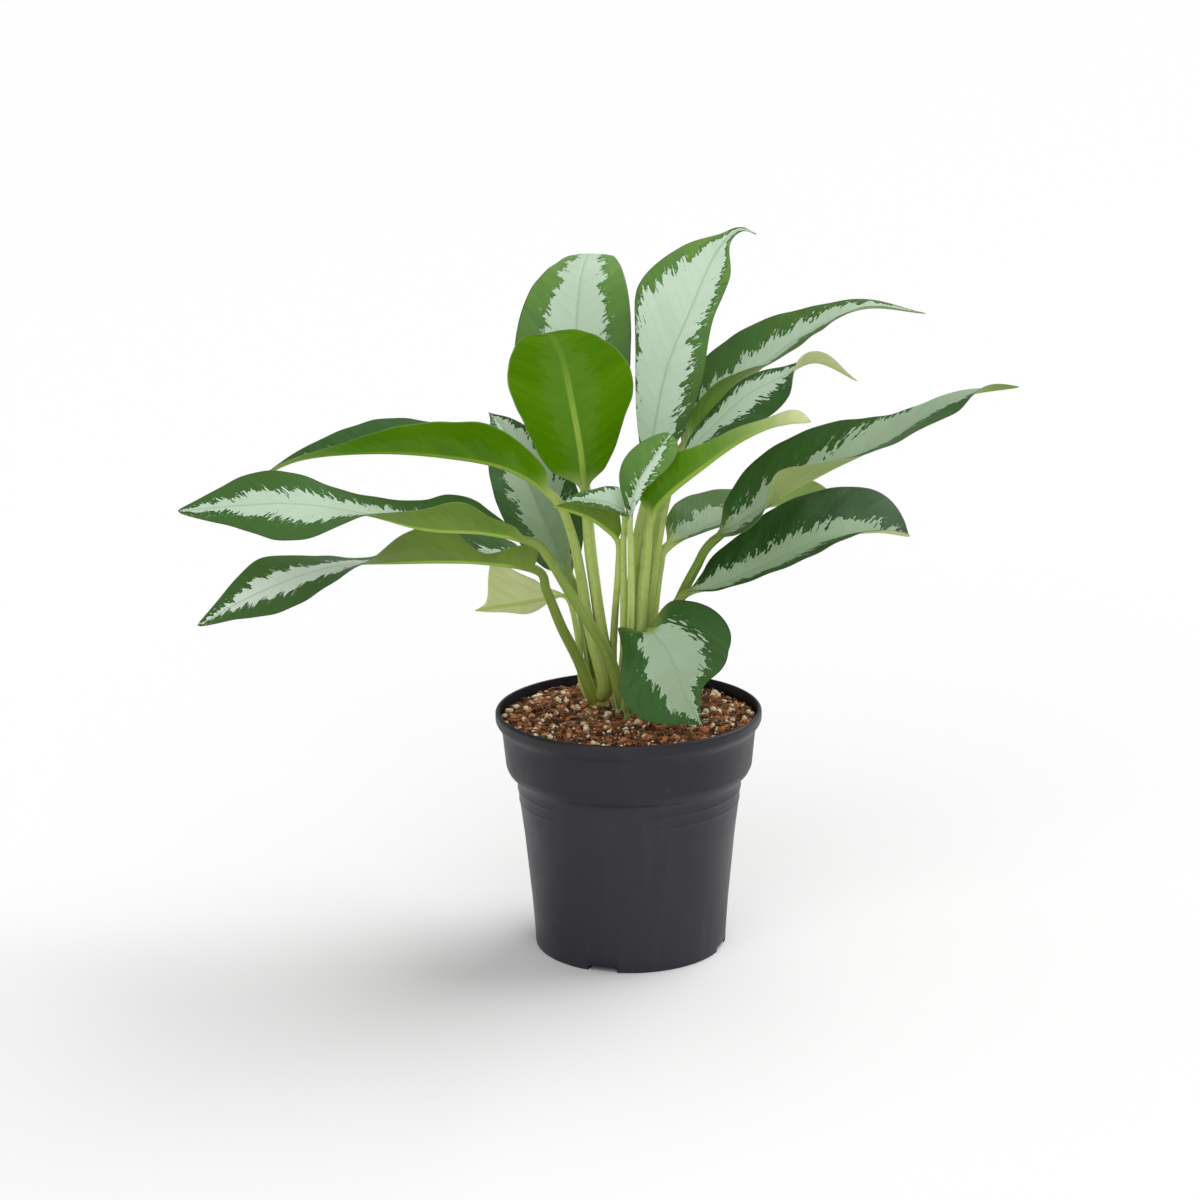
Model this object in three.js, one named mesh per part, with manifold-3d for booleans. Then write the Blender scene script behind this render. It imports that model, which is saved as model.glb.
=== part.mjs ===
// Potted chinese evergreen: a bushy foliage plant in a round nursery pot.
// Millimetres, +Z up. The pot stands on z = 0 and its axis is the Z axis.
// The side that the photograph shows faces -Y.
import * as THREE from "three";
import { mergeVertices } from "three/addons/utils/BufferGeometryUtils.js";
import Module from "manifold-3d";

const wasm = await Module();
wasm.setup();
const { Manifold, Mesh } = wasm;

// ---------------------------------------------------------------- driving dimensions

const CLEARANCE = 0.3; // gap between solids that touch in life
const POT_SECTORS = 40;
const POT_WALL = 1.3;
// Outside of the pot, [height, radius], from the foot up to the lip.
const POT_OUTSIDE = [
  [0, 54.6],
  [10, 55.1],
  [28, 56.4],
  [65, 59.9],
  [85.5, 62.4],
  [86.6, 62.9],
  [88, 62.7],
  [92.5, 63.2],
  [93.6, 63.7],
  [95, 63.5],
  [98, 63.9],
  [100.5, 65],
  [103.5, 68.2],
  [107, 69.8],
  [125, 71.5],
  [129, 72.3],
  [131.5, 74.4],
  [133.5, 75.3],
  [137.8, 75.3],
  [139, 74.4],
];
const POT_FLOOR = { underside: 3, top: 4.6, padRadius: 22, footRadius: 47 };
const NOTCH = { count: 4, width: 17, height: 3, firstAngle: 252 };
const DRAIN = { count: 6, radius: 4.5, circle: 34, firstAngle: 30 };

const SOIL = { sectors: POT_SECTORS, rings: 10, height: 134, bump: 1.3, seed: 41 };
const PERLITE = { count: 30, smallest: 1.4, largest: 2.5, seed: 7 };

// Canes: centre on the soil, radius at the soil, radius and height of the top, depth in the soil.
const CANES = {
  cane_a: { x: -17, y: 20, radius: 6.2, topRadius: 4.8, top: 150, foot: 112 },
  cane_b: { x: 3, y: 3, radius: 7, topRadius: 5.2, top: 158, foot: 112 },
};

const BLADE = { thickness: 0.8, rings: 18, smallRings: 11, across: 2, midrib: 1.5 };
const STALK = { rings: 8, smallRings: 7, sides: 10 };
// Every stalk springs from inside its cane, this far below its first point.
const ROOT = { drop: 10, share: 0.3 };
const LARGE_STALK = [3.9, 3.3, 2.6];
const SMALL_STALK = [2.3, 2.1, 1.7];

// ---------------------------------------------------------------- colours from the photograph

const PLASTIC = { color: 0x3b3f46, roughness: 0.42, metalness: 0 };
const EARTH = { color: 0x4a2f20, roughness: 0.95, metalness: 0 };
const CANE = { color: 0xa8a054, roughness: 0.6, metalness: 0 };
const SHEATH = { color: 0xb9b98a, roughness: 0.6, metalness: 0 };
const SILVER = { color: 0x8fb495, roughness: 0.45, metalness: 0 };
const GREEN = { color: 0x5c9427, roughness: 0.45, metalness: 0 };
const OLIVE = { color: 0x6d8a45, roughness: 0.5, metalness: 0 };
const PALE = { color: 0xb4bf74, roughness: 0.5, metalness: 0 };

// ---------------------------------------------------------------- the leaves
// stalk and blade: points of the centre line, the blade starts at the last stalk point.
// face: the way the upper side faces at the middle of the blade.
// half: half of the greatest width. peak: where along the blade that is.
// left and right: how far each half is folded up from flat, in degrees, along the blade.
// bend: how much each half curves on from its fold to its margin, in degrees.
// roll: turn of the blade about its centre line, in degrees, along the blade.
// full: the lower, the faster the blade widens from its base. drip: how far the tip is drawn out
// to a point, and dripPower how near the end that begins.
// wideLeft and wideRight: the width of each half against the regular outline, along the blade.
// wave: height of the waves of the margin.
// back: how far the left and the right base lobe sweep back.

const LEAVES = {
  leaf_01: {
    cane: "cane_a",
    stalk: [[-14, 12, 150], [-19, 11, 172], [-23, 11, 192], [-26, 9, 215], [-31, 6, 240], [-40, 2, 260]],
    blade: [[-66, -4, 278.5], [-100, -8, 286.5], [-139, -8, 289], [-180, -4, 284.5], [-209, 0, 270.5]],
    face: [0, 0, 1],
    half: 30,
    peak: 0.4,
    left: [60, 60, 55, 49, 40, 30],
    right: [40, 36, 34, 34, 33, 30],
    bend: -10,
    wideLeft: [0.5, 0.72, 0.88, 1.12, 1.02, 0.86, 0.7, 0.52, 0.35, 0.37, 0.4],
    wideRight: [1, 0.85, 0.85, 1.15, 0.75, 0.5],
    wave: 0.8,
    look: GREEN,
  },
  leaf_02: {
    cane: "cane_a",
    stalk: [[-20, 28, 150], [-23, 30, 172], [-28, 32, 197], [-32, 33, 206]],
    blade: [[-39, 40, 219], [-48, 56, 238], [-60, 76, 263], [-71, 96, 282], [-80, 112, 289]],
    face: [0.1, -1, 0.6],
    half: 25,
    left: [20],
    right: [20],
    wave: 1,
    look: SILVER,
  },
  leaf_03: {
    cane: "cane_a",
    stalk: [[-10, 16, 150], [-14, 15, 175], [-18, 12, 205], [-21, 9, 230], [-22, 7, 246], [-23, 3, 263]],
    blade: [[-25, -14, 291], [-29, -38, 321], [-33, -66, 348], [-38, -98, 366], [-43, -130, 372]],
    face: [0, 1, 0.8],
    half: 35,
    peak: 0.48,
    full: 0.9,
    drip: 0.6,
    left: [8],
    right: [8],
    bend: -10,
    wideLeft: [1.2, 1, 0.91, 0.88, 0.97, 0.98, 0.96, 0.96, 0.98, 0.99, 1],
    wideRight: [2.2, 1.5, 1.12, 0.95, 0.92, 0.93, 0.92, 0.92, 0.95, 1, 1],
    wave: 0.6,
    look: GREEN,
  },
  leaf_04: {
    cane: "cane_a",
    stalk: [[-13, 28, 150], [-16, 27, 184], [-20, 26, 224], [-23, 27, 267]],
    blade: [[-26, 32, 304], [-27, 42, 342], [-24, 64, 374], [-19, 96, 384], [-15, 128, 374]],
    face: [0, -1, 0.6],
    half: 32,
    peak: 0.4,
    left: [10, 10, 5, -4, -10, -10],
    right: [14, 12, 8, 0, -4, -4],
    roll: [-6],
    wideLeft: [1, 1.12, 1.02, 0.94, 1],
    wave: 1.2,
    look: SILVER,
  },
  leaf_05: {
    cane: "cane_b",
    stalk: [[-2, 11, 150], [2, 14, 197], [7, 15, 237], [13, 13, 264]],
    blade: [
      [16, 15, 295], [24, 23, 330], [37, 34, 359], [49, 47, 384],
      [58.5, 54, 396.5], [67, 58, 401], [76, 60, 398],
    ],
    face: [0.2, -1, 0.5],
    half: 31,
    peak: 0.5,
    drip: 0.85,
    dripPower: 7,
    left: [8],
    right: [24],
    wideLeft: [0.45, 0.5, 0.65, 1.12, 1, 0.45, 0.4, 0.4],
    wideRight: [0.8, 0.85, 0.72, 0.5, 0.68, 0.35, 0.4, 0.4],
    wave: 0.9,
    look: SILVER,
  },
  leaf_06: {
    cane: "cane_b",
    stalk: [[5, 12, 150], [9, 15, 198], [15, 17, 237], [24, 17, 269], [31, 19, 283]],
    blade: [[49, 30, 305], [75, 42, 324], [102, 54, 342], [136, 62, 355], [173, 68, 351]],
    face: [-0.3, -0.1, 1],
    half: 30,
    left: [26, 28, 27, 22, 20],
    right: [60, 52, 16, 14, 14, 14],
    wideLeft: [1.1, 1.2, 1.1, 0.85, 0.7, 0.6],
    wideRight: [0.8, 0.8, 0.95, 1, 1, 1],
    wave: 1,
    look: SILVER,
  },
  leaf_07: {
    cane: "cane_b",
    stalk: [[7, 5, 162], [13, 4, 199], [19, 3, 240], [25, 1, 268], [29, 0, 278]],
    blade: [[44, 0, 296], [65, -1, 316], [85, -3, 327], [104, -5, 335.5], [127, -6, 325]],
    face: [-0.5, -0.2, 1],
    half: 18,
    left: [12, 12, 12, 12, 0, 0],
    right: [0, -5, -20, -15, 55, 60],
    wideLeft: [0.85, 0.85, 0.85, 0.7, 0.45, 0.4],
    wideRight: [1, 1.1, 1.35, 1.3, 1.2, 1.2],
    wave: 0.6,
    small: true,
    look: SILVER,
  },
  leaf_08: {
    cane: "cane_b",
    stalk: [[5, -1, 162], [8, -4, 201], [11, -6, 231], [13, -7, 249]],
    blade: [[22, -24, 266], [40, -48, 286], [60, -70, 305], [79, -86, 316.5], [94, -97, 320]],
    face: [-0.3, 0.2, 1],
    half: 24,
    left: [30, 30, 28, 15, -10, -20],
    right: [60, 62, 60, 60, 65, 70],
    wideLeft: [1.2, 1.15, 0.75, 0.35, 0.7, 1],
    wideRight: [0.8, 1, 0.6, 0.4, 0.5, 1.6],
    full: 0.6,
    drip: 0.1,
    wave: 0.5,
    look: GREEN,
  },
  leaf_09: {
    cane: "cane_b",
    stalk: [[1, -2, 162], [2, -10, 203], [2, -18, 238], [1.5, -25, 252]],
    blade: [[5, -36, 273.5], [13.8, -45, 290.5], [23, -51, 305.5]],
    face: [0.3, -0.9, 0.3],
    half: 12,
    peak: 0.62,
    full: 0.5,
    drip: 0,
    left: [-30],
    right: [12],
    wideLeft: [0.6, 1.15, 1, 0.7],
    wideRight: [0.3, 0.5, 0.8, 1.3],
    wave: 0.4,
    small: true,
    look: SILVER,
  },
  leaf_10: {
    cane: "cane_a",
    stalk: [[-9, 22, 152], [-8, 17, 172], [-7, 8, 190], [-6, -1, 205], [-5, -5, 220], [-5, -7, 237]],
    blade: [[-13, -9, 246], [-24, -12, 253], [-41, -15, 259]],
    face: [0.3, 0.1, 1],
    half: 18,
    left: [58],
    right: [35],
    wideRight: [0.7],
    wideLeft: [0.3, 0.85, 0.95, 1],
    wave: 0.5,
    small: true,
    look: OLIVE,
  },
  leaf_11: {
    cane: "cane_b",
    stalk: [[10, 8, 150], [14, 7, 189], [18, 10, 217], [22, 13, 228]],
    blade: [[41, 24, 236], [64, 42, 241], [88, 60, 242], [110, 76, 239], [132, 88, 233]],
    face: [0, 0, 1],
    half: 27,
    full: 0.6,
    left: [32, 24, 12, 10, 10],
    right: [22, 15, 12, 45, 50, 50],
    wideLeft: [0.9, 1.1, 1.1, 1, 0.9],
    wideRight: [0.8, 0.8, 0.9, 1, 1],
    wave: 0.8,
    look: OLIVE,
  },
  leaf_12: {
    cane: "cane_b",
    stalk: [[11, 3, 150], [19, 0, 178], [29, -5, 203], [38, -9, 222], [47, -12, 237]],
    blade: [[75, -16, 258], [108, -20, 277.5], [142, -24, 295], [178, -26, 318], [212, -28, 324.5]],
    face: [-0.5, -0.1, 1],
    half: 34,
    left: [28, 42, 30, 16, 8, 10],
    right: [0, 0, 8, 38, 27, 20, 14, 6, -5, 38, 75],
    wideLeft: [0.9, 0.98, 1, 0.87, 0.62, 0.45],
    wideRight: [1, 1, 1, 1.08, 1.15, 1.7],
    wave: 0.6,
    look: SILVER,
  },
  leaf_13: {
    cane: "cane_b",
    stalk: [[10, -3, 150], [18, -9, 181], [30, -15, 207]],
    blade: [[49, -14, 213], [79, -7, 224], [110, 3, 235], [139, 12, 236], [159.5, 18, 232]],
    face: [-0.2, 0, 1],
    half: 36,
    peak: 0.58,
    full: 0.5,
    drip: 0.2,
    left: [20, 30, 34, 38, 43, 46],
    right: [12, 6, 4, 7, 12, 14],
    wideLeft: [0.2, 0.9, 0.9, 0.95, 1.28, 1.9],
    wideRight: [0.8, 0.9, 0.9, 0.8, 0.7, 0.6],
    wave: 0.5,
    look: SILVER,
  },
  leaf_14: {
    cane: "cane_b",
    stalk: [[4, -5, 148], [6, -11, 168], [9, -20, 184], [12, -27, 190]],
    blade: [[20, -36, 184], [26, -44, 172.5], [30, -49, 160], [40, -52, 143]],
    face: [0.15, -1, 0.35],
    half: 31,
    peak: 0.36,
    left: [6],
    right: [6],
    wideLeft: [0.95, 1.2, 1.02, 0.6, 0.35],
    wideRight: [0.5, 0.82, 1.15, 1.38, 1.45],
    wave: 0.6,
    back: [17, 28],
    look: SILVER,
  },
  leaf_15: {
    cane: "cane_a",
    stalk: [[-26, 24, 146], [-28, 34, 170], [-34, 44, 192]],
    blade: [[-47, 50, 190.7], [-61, 56, 186.5], [-74.5, 60, 183.5], [-88.5, 62, 180.5]],
    face: [0, 0.9, 0.5],
    half: 25,
    peak: 0.72,
    full: 0.9,
    left: [8],
    right: [8],
    wideLeft: [3, 2.8, 2.5, 2, 1.6, 1.45, 0.95, 0.3, 0.3],
    wideRight: [1, 1.2, 1, 0.8, 0.6, 0.4, 0.3, 0.3, 0.4],
    wave: 0.5,
    small: true,
    look: PALE,
  },
  leaf_16: {
    cane: "cane_a",
    stalk: [[-22, 15, 147], [-28, 13, 164], [-37, 9, 184], [-45, 5, 206], [-51, 2.5, 219]],
    blade: [[-85, -4, 225.7], [-124, -10, 227.6], [-163, -12, 226], [-203, -10, 212], [-240.5, -6, 191.5]],
    face: [0, 0, 1],
    half: 32,
    full: 0.6,
    drip: 0.45,
    left: [55, 55, 55, 55, 48, 14, -15, -25, -27, -28, -28],
    right: [35, 35, 35, 30, 15, -5, 0, 15, 36, 36, 30],
    wideLeft: [1.5, 1, 0.27, 0.93, 0.85, 0.62, 0.68, 0.95, 1.12, 1, 1],
    wideRight: [1, 0.9, 0.9, 0.8, 0.7, 0.7, 0.85, 0.95, 1.2, 1.2, 1.1],
    wave: 0.4,
    back: [17, 8],
    look: OLIVE,
  },
  leaf_17: {
    cane: "cane_b",
    stalk: [
      [-4, -3, 147], [-11, -9, 172], [-20, -14, 190], [-32, -18, 211], [-43, -21, 231], [-52, -24, 241],
    ],
    blade: [[-78, -37, 250], [-109, -44, 254], [-143, -46, 263.5], [-185, -45, 269], [-243, -38, 264]],
    face: [0, 0, 1],
    half: 31,
    full: 0.6,
    drip: 0.45,
    left: [50, 55, 55, 55, 50, 30, 5, -22, -33, -35, -35],
    right: [38, 38, 38, 38, 36, 32, 30, 30, 34, 34, 32],
    wideLeft: [0.5, 0.45, 0.52, 0.86, 0.68, 0.58, 0.68, 0.98, 1.15, 1, 1],
    wideRight: [0.4, 0.5, 0.85, 0.9, 0.68, 0.52, 0.48, 0.62, 1, 1.45, 1.2],
    wave: 0.4,
    look: SILVER,
  },
  leaf_18: {
    cane: "cane_b",
    stalk: [[-2, 2, 162], [-2, -4, 203], [-2, -11.5, 236], [-1.5, -19.5, 255]],
    blade: [[-10, -27, 263], [-23, -33, 266.5], [-37, -37, 266]],
    face: [0, -0.5, 1],
    half: 12,
    left: [10],
    right: [38],
    peak: 0.32,
    wideRight: [1.4, 0.8, 0.6, 0.6],
    wave: 0.5,
    small: true,
    look: SILVER,
  },
};

// The order in which stalks give way where they crowd together: a later one is trimmed to fit.
const GIVE_WAY = [
  "leaf_17", "leaf_16", "leaf_14", "leaf_13", "leaf_12", "leaf_01", "leaf_03", "leaf_08", "leaf_09",
  "leaf_18", "leaf_10", "leaf_07", "leaf_11", "leaf_06", "leaf_05", "leaf_04", "leaf_02", "leaf_15",
];

// ---------------------------------------------------------------- small helpers

function seeded(seed) {
  let state = seed >>> 0;
  return () => {
    state = (state + 0x6d2b79f5) >>> 0;
    let t = Math.imul(state ^ (state >>> 15), 1 | state);
    t = (t + Math.imul(t ^ (t >>> 7), 61 | t)) ^ t;
    return ((t ^ (t >>> 14)) >>> 0) / 4294967296;
  };
}

const radians = (degrees) => (degrees * Math.PI) / 180;
const vector = (p) => new THREE.Vector3(p[0], p[1], p[2]);
const clamp = THREE.MathUtils.clamp;
const smooth = (t) => THREE.MathUtils.smoothstep(t, 0, 1);

// Catmull-Rom curve through numbers: t runs from 0 to values.length - 1.
function through(values, t) {
  const last = values.length - 1;
  if (last === 0) return values[0];
  const i = clamp(Math.floor(t), 0, last - 1);
  const u = t - i;
  const b = values[i];
  const c = values[i + 1];
  const a = i > 0 ? values[i - 1] : 2 * b - c;
  const d = i + 2 <= last ? values[i + 2] : 2 * c - b;
  const linear = (c - a) * u;
  const square = (2 * a - 5 * b + 4 * c - d) * u * u;
  const cube = (3 * b - a - 3 * c + d) * u * u * u;
  return 0.5 * (2 * b + linear + square + cube);
}

// The value of a list of settings at s, which runs from 0 at the blade's base to 1 at its tip.
const along = (values, s) => through(values, s * (values.length - 1));

// A closed three.js geometry as a solid that can be joined and cut.
function solidOf(geometry) {
  const source = geometry.index ? geometry.toNonIndexed() : geometry;
  const bare = new THREE.BufferGeometry();
  bare.setAttribute("position", source.getAttribute("position"));
  const merged = mergeVertices(bare, 1e-3);
  const corners = merged.index.array;
  const triangles = [];
  for (let i = 0; i < corners.length; i += 3) {
    const [a, b, c] = corners.slice(i, i + 3);
    if (a !== b && b !== c && c !== a) triangles.push([a, b, c]);
  }
  const make = (list) =>
    new Manifold(
      new Mesh({
        numProp: 3,
        vertProperties: merged.attributes.position.array,
        triVerts: new Uint32Array(list.flat()),
      }),
    );
  const made = make(triangles);
  if (made.volume() > 0) return made;
  return make(triangles.map(([a, b, c]) => [a, c, b]));
}

// A closed solid from rings of points, each ring with the same number of points.
function solidFromRings(rings) {
  const size = rings[0].length;
  const corners = [];
  const face = (...points) => points.forEach((p) => corners.push(p.x, p.y, p.z));
  for (let i = 0; i + 1 < rings.length; i++) {
    for (let j = 0; j < size; j++) {
      const a = rings[i][j];
      const b = rings[i][(j + 1) % size];
      const c = rings[i + 1][(j + 1) % size];
      const d = rings[i + 1][j];
      face(a, b, c);
      face(a, c, d);
    }
  }
  const first = rings[0];
  const last = rings[rings.length - 1];
  const firstCentre = centreOf(first);
  const lastCentre = centreOf(last);
  for (let j = 0; j < size; j++) {
    face(first[(j + 1) % size], first[j], firstCentre);
    face(last[j], last[(j + 1) % size], lastCentre);
  }
  const geometry = new THREE.BufferGeometry();
  geometry.setAttribute("position", new THREE.Float32BufferAttribute(corners, 3));
  return solidOf(geometry);
}

function centreOf(ring) {
  const centre = new THREE.Vector3();
  for (const p of ring) centre.addScaledVector(p, 1 / ring.length);
  return centre;
}

// A solid of revolution about a line along Z, from [height, radius] points that start and end on it.
function turned(outline, sectors, x = 0, y = 0) {
  const points = outline.map(([z, r]) => new THREE.Vector2(r, z));
  const lathe = new THREE.LatheGeometry(points, sectors);
  return solidOf(lathe.rotateX(Math.PI / 2).translate(x, y, 0));
}

// ---------------------------------------------------------------- leaf

const STEPS = 40; // steps of the centre line between two control points

// The stalk's points with one more inside the cane, where the stalk springs from.
function rooted(leaf) {
  if (!leaf.cane) return leaf.stalk;
  const { x, y } = CANES[leaf.cane];
  const [footX, footY, footZ] = leaf.stalk[0];
  const mix = (centre, foot) => centre + ROOT.share * (foot - centre);
  return [[mix(x, footX), mix(y, footY), footZ - ROOT.drop], ...leaf.stalk];
}

// The centre line of a leaf with a side vector and an upper-side vector at every step.
function centreLine(leaf) {
  const stalk = rooted(leaf);
  const points = [...stalk, ...leaf.blade];
  const axes = [0, 1, 2].map((k) => points.map((p) => p[k]));
  const line = [];
  const count = (points.length - 1) * STEPS;
  for (let i = 0; i <= count; i++) {
    line.push(vector(axes.map((values) => through(values, i / STEPS))));
  }
  const tangent = line.map((_, i) => {
    const a = line[Math.max(i - 1, 0)];
    const b = line[Math.min(i + 1, count)];
    return b.clone().sub(a).normalize();
  });
  const base = (stalk.length - 1) * STEPS;
  const middle = base + Math.floor((leaf.blade.length + 1) / 2) * STEPS;
  const up = [];
  const level = (v, i) => v.addScaledVector(tangent[i], -v.dot(tangent[i])).normalize();
  up[middle] = level(vector(leaf.face), middle);
  const turn = new THREE.Quaternion();
  for (const step of [1, -1]) {
    for (let i = middle + step; i >= 0 && i <= count; i += step) {
      turn.setFromUnitVectors(tangent[i - step], tangent[i]);
      up[i] = level(up[i - step].clone().applyQuaternion(turn), i);
    }
  }
  const length = [0];
  for (let i = 1; i <= count; i++) length[i] = length[i - 1] + line[i].distanceTo(line[i - 1]);
  return { line, tangent, up, length, base, count };
}

// Place, direction and upper side at a distance along the centre line.
function stationAt(centre, distance) {
  const { length, count } = centre;
  let i = 0;
  while (i < count - 1 && length[i + 1] < distance) i++;
  const u = clamp((distance - length[i]) / (length[i + 1] - length[i]), 0, 1);
  const mix = (list) => list[i].clone().lerp(list[i + 1], u);
  const t = mix(centre.tangent).normalize();
  const n = mix(centre.up);
  n.addScaledVector(t, -n.dot(t)).normalize();
  return { p: mix(centre.line), t, n, step: i + u };
}

// Half of the blade's width at s, before the left and right settings.
function halfWidth(leaf, s) {
  const peak = leaf.peak ?? 0.42;
  const full = leaf.full ?? 0.8;
  const drip = leaf.drip ?? 0.72;
  const power = Math.log(0.5) / Math.log(peak);
  const body = Math.sin(Math.PI * Math.pow(s, power)) ** full;
  return leaf.half * body * (1 - drip * Math.pow(s, leaf.dripPower ?? 6));
}

// A row of points across the blade at s, from the left margin to the right margin.
function bladeRow(leaf, centre, s) {
  const start = centre.length[centre.base];
  const full = centre.length[centre.count];
  const at = stationAt(centre, start + s * (full - start));
  // The settings run with the control points, not with the length.
  const place = clamp((at.step - centre.base) / (centre.count - centre.base), 0, 1);
  const roll = radians(along(leaf.roll ?? [0], place));
  const side = at.t.clone().cross(at.n);
  const up = at.n.clone().multiplyScalar(Math.cos(roll)).addScaledVector(side, Math.sin(roll));
  side.copy(at.t).cross(up);
  const bend = radians(leaf.bend ?? 0.01);
  const row = [];
  for (let j = -BLADE.across; j <= BLADE.across; j++) {
    const q = Math.abs(j) / BLADE.across;
    const isLeft = j < 0;
    const fold = radians(along(isLeft ? leaf.left : leaf.right, place));
    const wide = along((isLeft ? leaf.wideLeft : leaf.wideRight) ?? [1], place);
    const width = Math.max(halfWidth(leaf, s) * wide, 0.7);
    const out = ((Math.sin(fold + bend * q) - Math.sin(fold)) / bend) * width;
    const rise = ((Math.cos(fold) - Math.cos(fold + bend * q)) / bend) * width;
    const phase = isLeft ? 0 : 0.37;
    const wave = leaf.wave * Math.sin(2 * Math.PI * (2.5 * s + phase)) * q * q * Math.sin(Math.PI * s);
    const back = (leaf.back ?? [0, 0])[isLeft ? 0 : 1];
    const sweep = back * q ** 1.5 * clamp(1 - s / 0.35, 0, 1) ** 1.5;
    row.push(
      at.p
        .clone()
        .addScaledVector(side, Math.sign(j) * out)
        .addScaledVector(up, rise + wave)
        .addScaledVector(at.t, -sweep),
    );
  }
  return { row, up };
}

// A ring around the stalk, with as many points as a ring of the blade.
function stalkRing(at, radius) {
  const side = at.t.clone().cross(at.n);
  const ring = [];
  for (let k = 0; k < STALK.sides; k++) {
    const angle = radians(162 - (360 / STALK.sides) * k);
    const p = at.p.clone().addScaledVector(side, radius * Math.cos(angle));
    ring.push(p.addScaledVector(at.n, radius * Math.sin(angle)));
  }
  return ring;
}

const stalkRadii = (leaf) => (leaf.small ? SMALL_STALK : LARGE_STALK);

// Rings of the stalk from its foot to the base of the blade.
function stalkRings(leaf, centre, grow) {
  const rings = [];
  const end = centre.length[centre.base];
  const count = leaf.rings?.stalk ?? (leaf.small ? STALK.smallRings : STALK.rings);
  for (let i = 0; i <= count; i++) {
    const s = i / count;
    const radius = along(stalkRadii(leaf), s) + grow;
    rings.push(stalkRing(stationAt(centre, s * end), radius));
  }
  return rings;
}

// Rings of the blade: the upper side, then the lower side back again.
function bladeRings(leaf, centre) {
  const rows = [];
  const places = [];
  const count = leaf.rings?.blade ?? (leaf.small ? BLADE.smallRings : BLADE.rings);
  for (let i = 1; i <= count; i++) {
    const t = i / count;
    places.push(Math.min(t ** 1.25, 0.985));
  }
  for (const s of places) rows.push(bladeRow(leaf, centre, s));
  const start = centre.length[centre.base];
  const full = centre.length[centre.count];
  const stalkEnd = stalkRadii(leaf)[2];
  const width = 2 * BLADE.across + 1;
  return rows.map(({ row, up }, i) => {
    const s = places[i];
    const before = rows[Math.max(i - 1, 0)].row;
    const after = rows[Math.min(i + 1, rows.length - 1)].row;
    const under = [];
    for (let j = 0; j < width; j++) {
      const acrossWay = row[Math.min(j + 1, width - 1)].clone().sub(row[Math.max(j - 1, 0)]);
      const alongWay = after[j].clone().sub(before[j]);
      const normal = acrossWay.cross(alongWay).normalize();
      if (normal.dot(up) < 0) normal.negate();
      let depth = BLADE.thickness;
      if (j === BLADE.across) depth += BLADE.midrib * (1 - s) ** 1.2;
      under.push(row[j].clone().addScaledVector(normal, -depth));
    }
    const ring = [...row, ...under.reverse()];
    const blend = smooth(s / 0.09);
    if (blend >= 1) return ring;
    const round = stalkRing(stationAt(centre, start + s * (full - start)), stalkEnd);
    return ring.map((p, k) => round[k].clone().lerp(p, blend));
  });
}

function leafSolid(leaf) {
  const centre = centreLine(leaf);
  return solidFromRings([...stalkRings(leaf, centre, 0), ...bladeRings(leaf, centre)]);
}

// The stalk a little thicker, to cut room for it in its neighbours.
function stalkRoom(leaf) {
  const centre = centreLine(leaf);
  return solidFromRings(stalkRings(leaf, centre, CLEARANCE));
}

// ---------------------------------------------------------------- pot, soil and canes

// The wall's inside follows the outside without its fine rings.
function wallInside(grow) {
  const plain = POT_OUTSIDE.filter(([z]) => z < 70 || z === 98 || (z > 101 && z !== 133.5 && z !== 137.8));
  return plain.map(([z, r]) => [z, r - POT_WALL - grow]);
}

function radiusAt(profile, z) {
  for (let i = 0; i + 1 < profile.length; i++) {
    const [z0, r0] = profile[i];
    const [z1, r1] = profile[i + 1];
    if (z <= z1) return r0 + ((r1 - r0) * (z - z0)) / (z1 - z0);
  }
  return profile[profile.length - 1][1];
}

function makePot() {
  const { underside, top, padRadius, footRadius } = POT_FLOOR;
  const inside = wallInside(0);
  const floorOutside = radiusAt(inside, top);
  const outline = [
    [0, 0],
    [0, padRadius],
    [underside, padRadius + 1.5],
    [underside, footRadius],
    [0, footRadius + 1.5],
    ...POT_OUTSIDE,
    ...inside.filter(([z]) => z > top + 1).reverse(),
    [top, floorOutside],
    [top, 0],
  ];
  let pot = turned(outline, POT_SECTORS);
  for (let i = 0; i < NOTCH.count; i++) {
    const angle = NOTCH.firstAngle + (360 / NOTCH.count) * i;
    const block = new THREE.BoxGeometry(20, NOTCH.width, 2 * NOTCH.height);
    pot = pot.subtract(solidOf(block.translate(54, 0, 0).rotateZ(radians(angle))));
  }
  for (let i = 0; i < DRAIN.count; i++) {
    const angle = DRAIN.firstAngle + (360 / DRAIN.count) * i;
    const drill = new THREE.CylinderGeometry(DRAIN.radius, DRAIN.radius, 12, 16);
    drill.rotateX(Math.PI / 2).translate(DRAIN.circle, 0, 3).rotateZ(radians(angle));
    pot = pot.subtract(solidOf(drill));
  }
  return pot;
}

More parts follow.
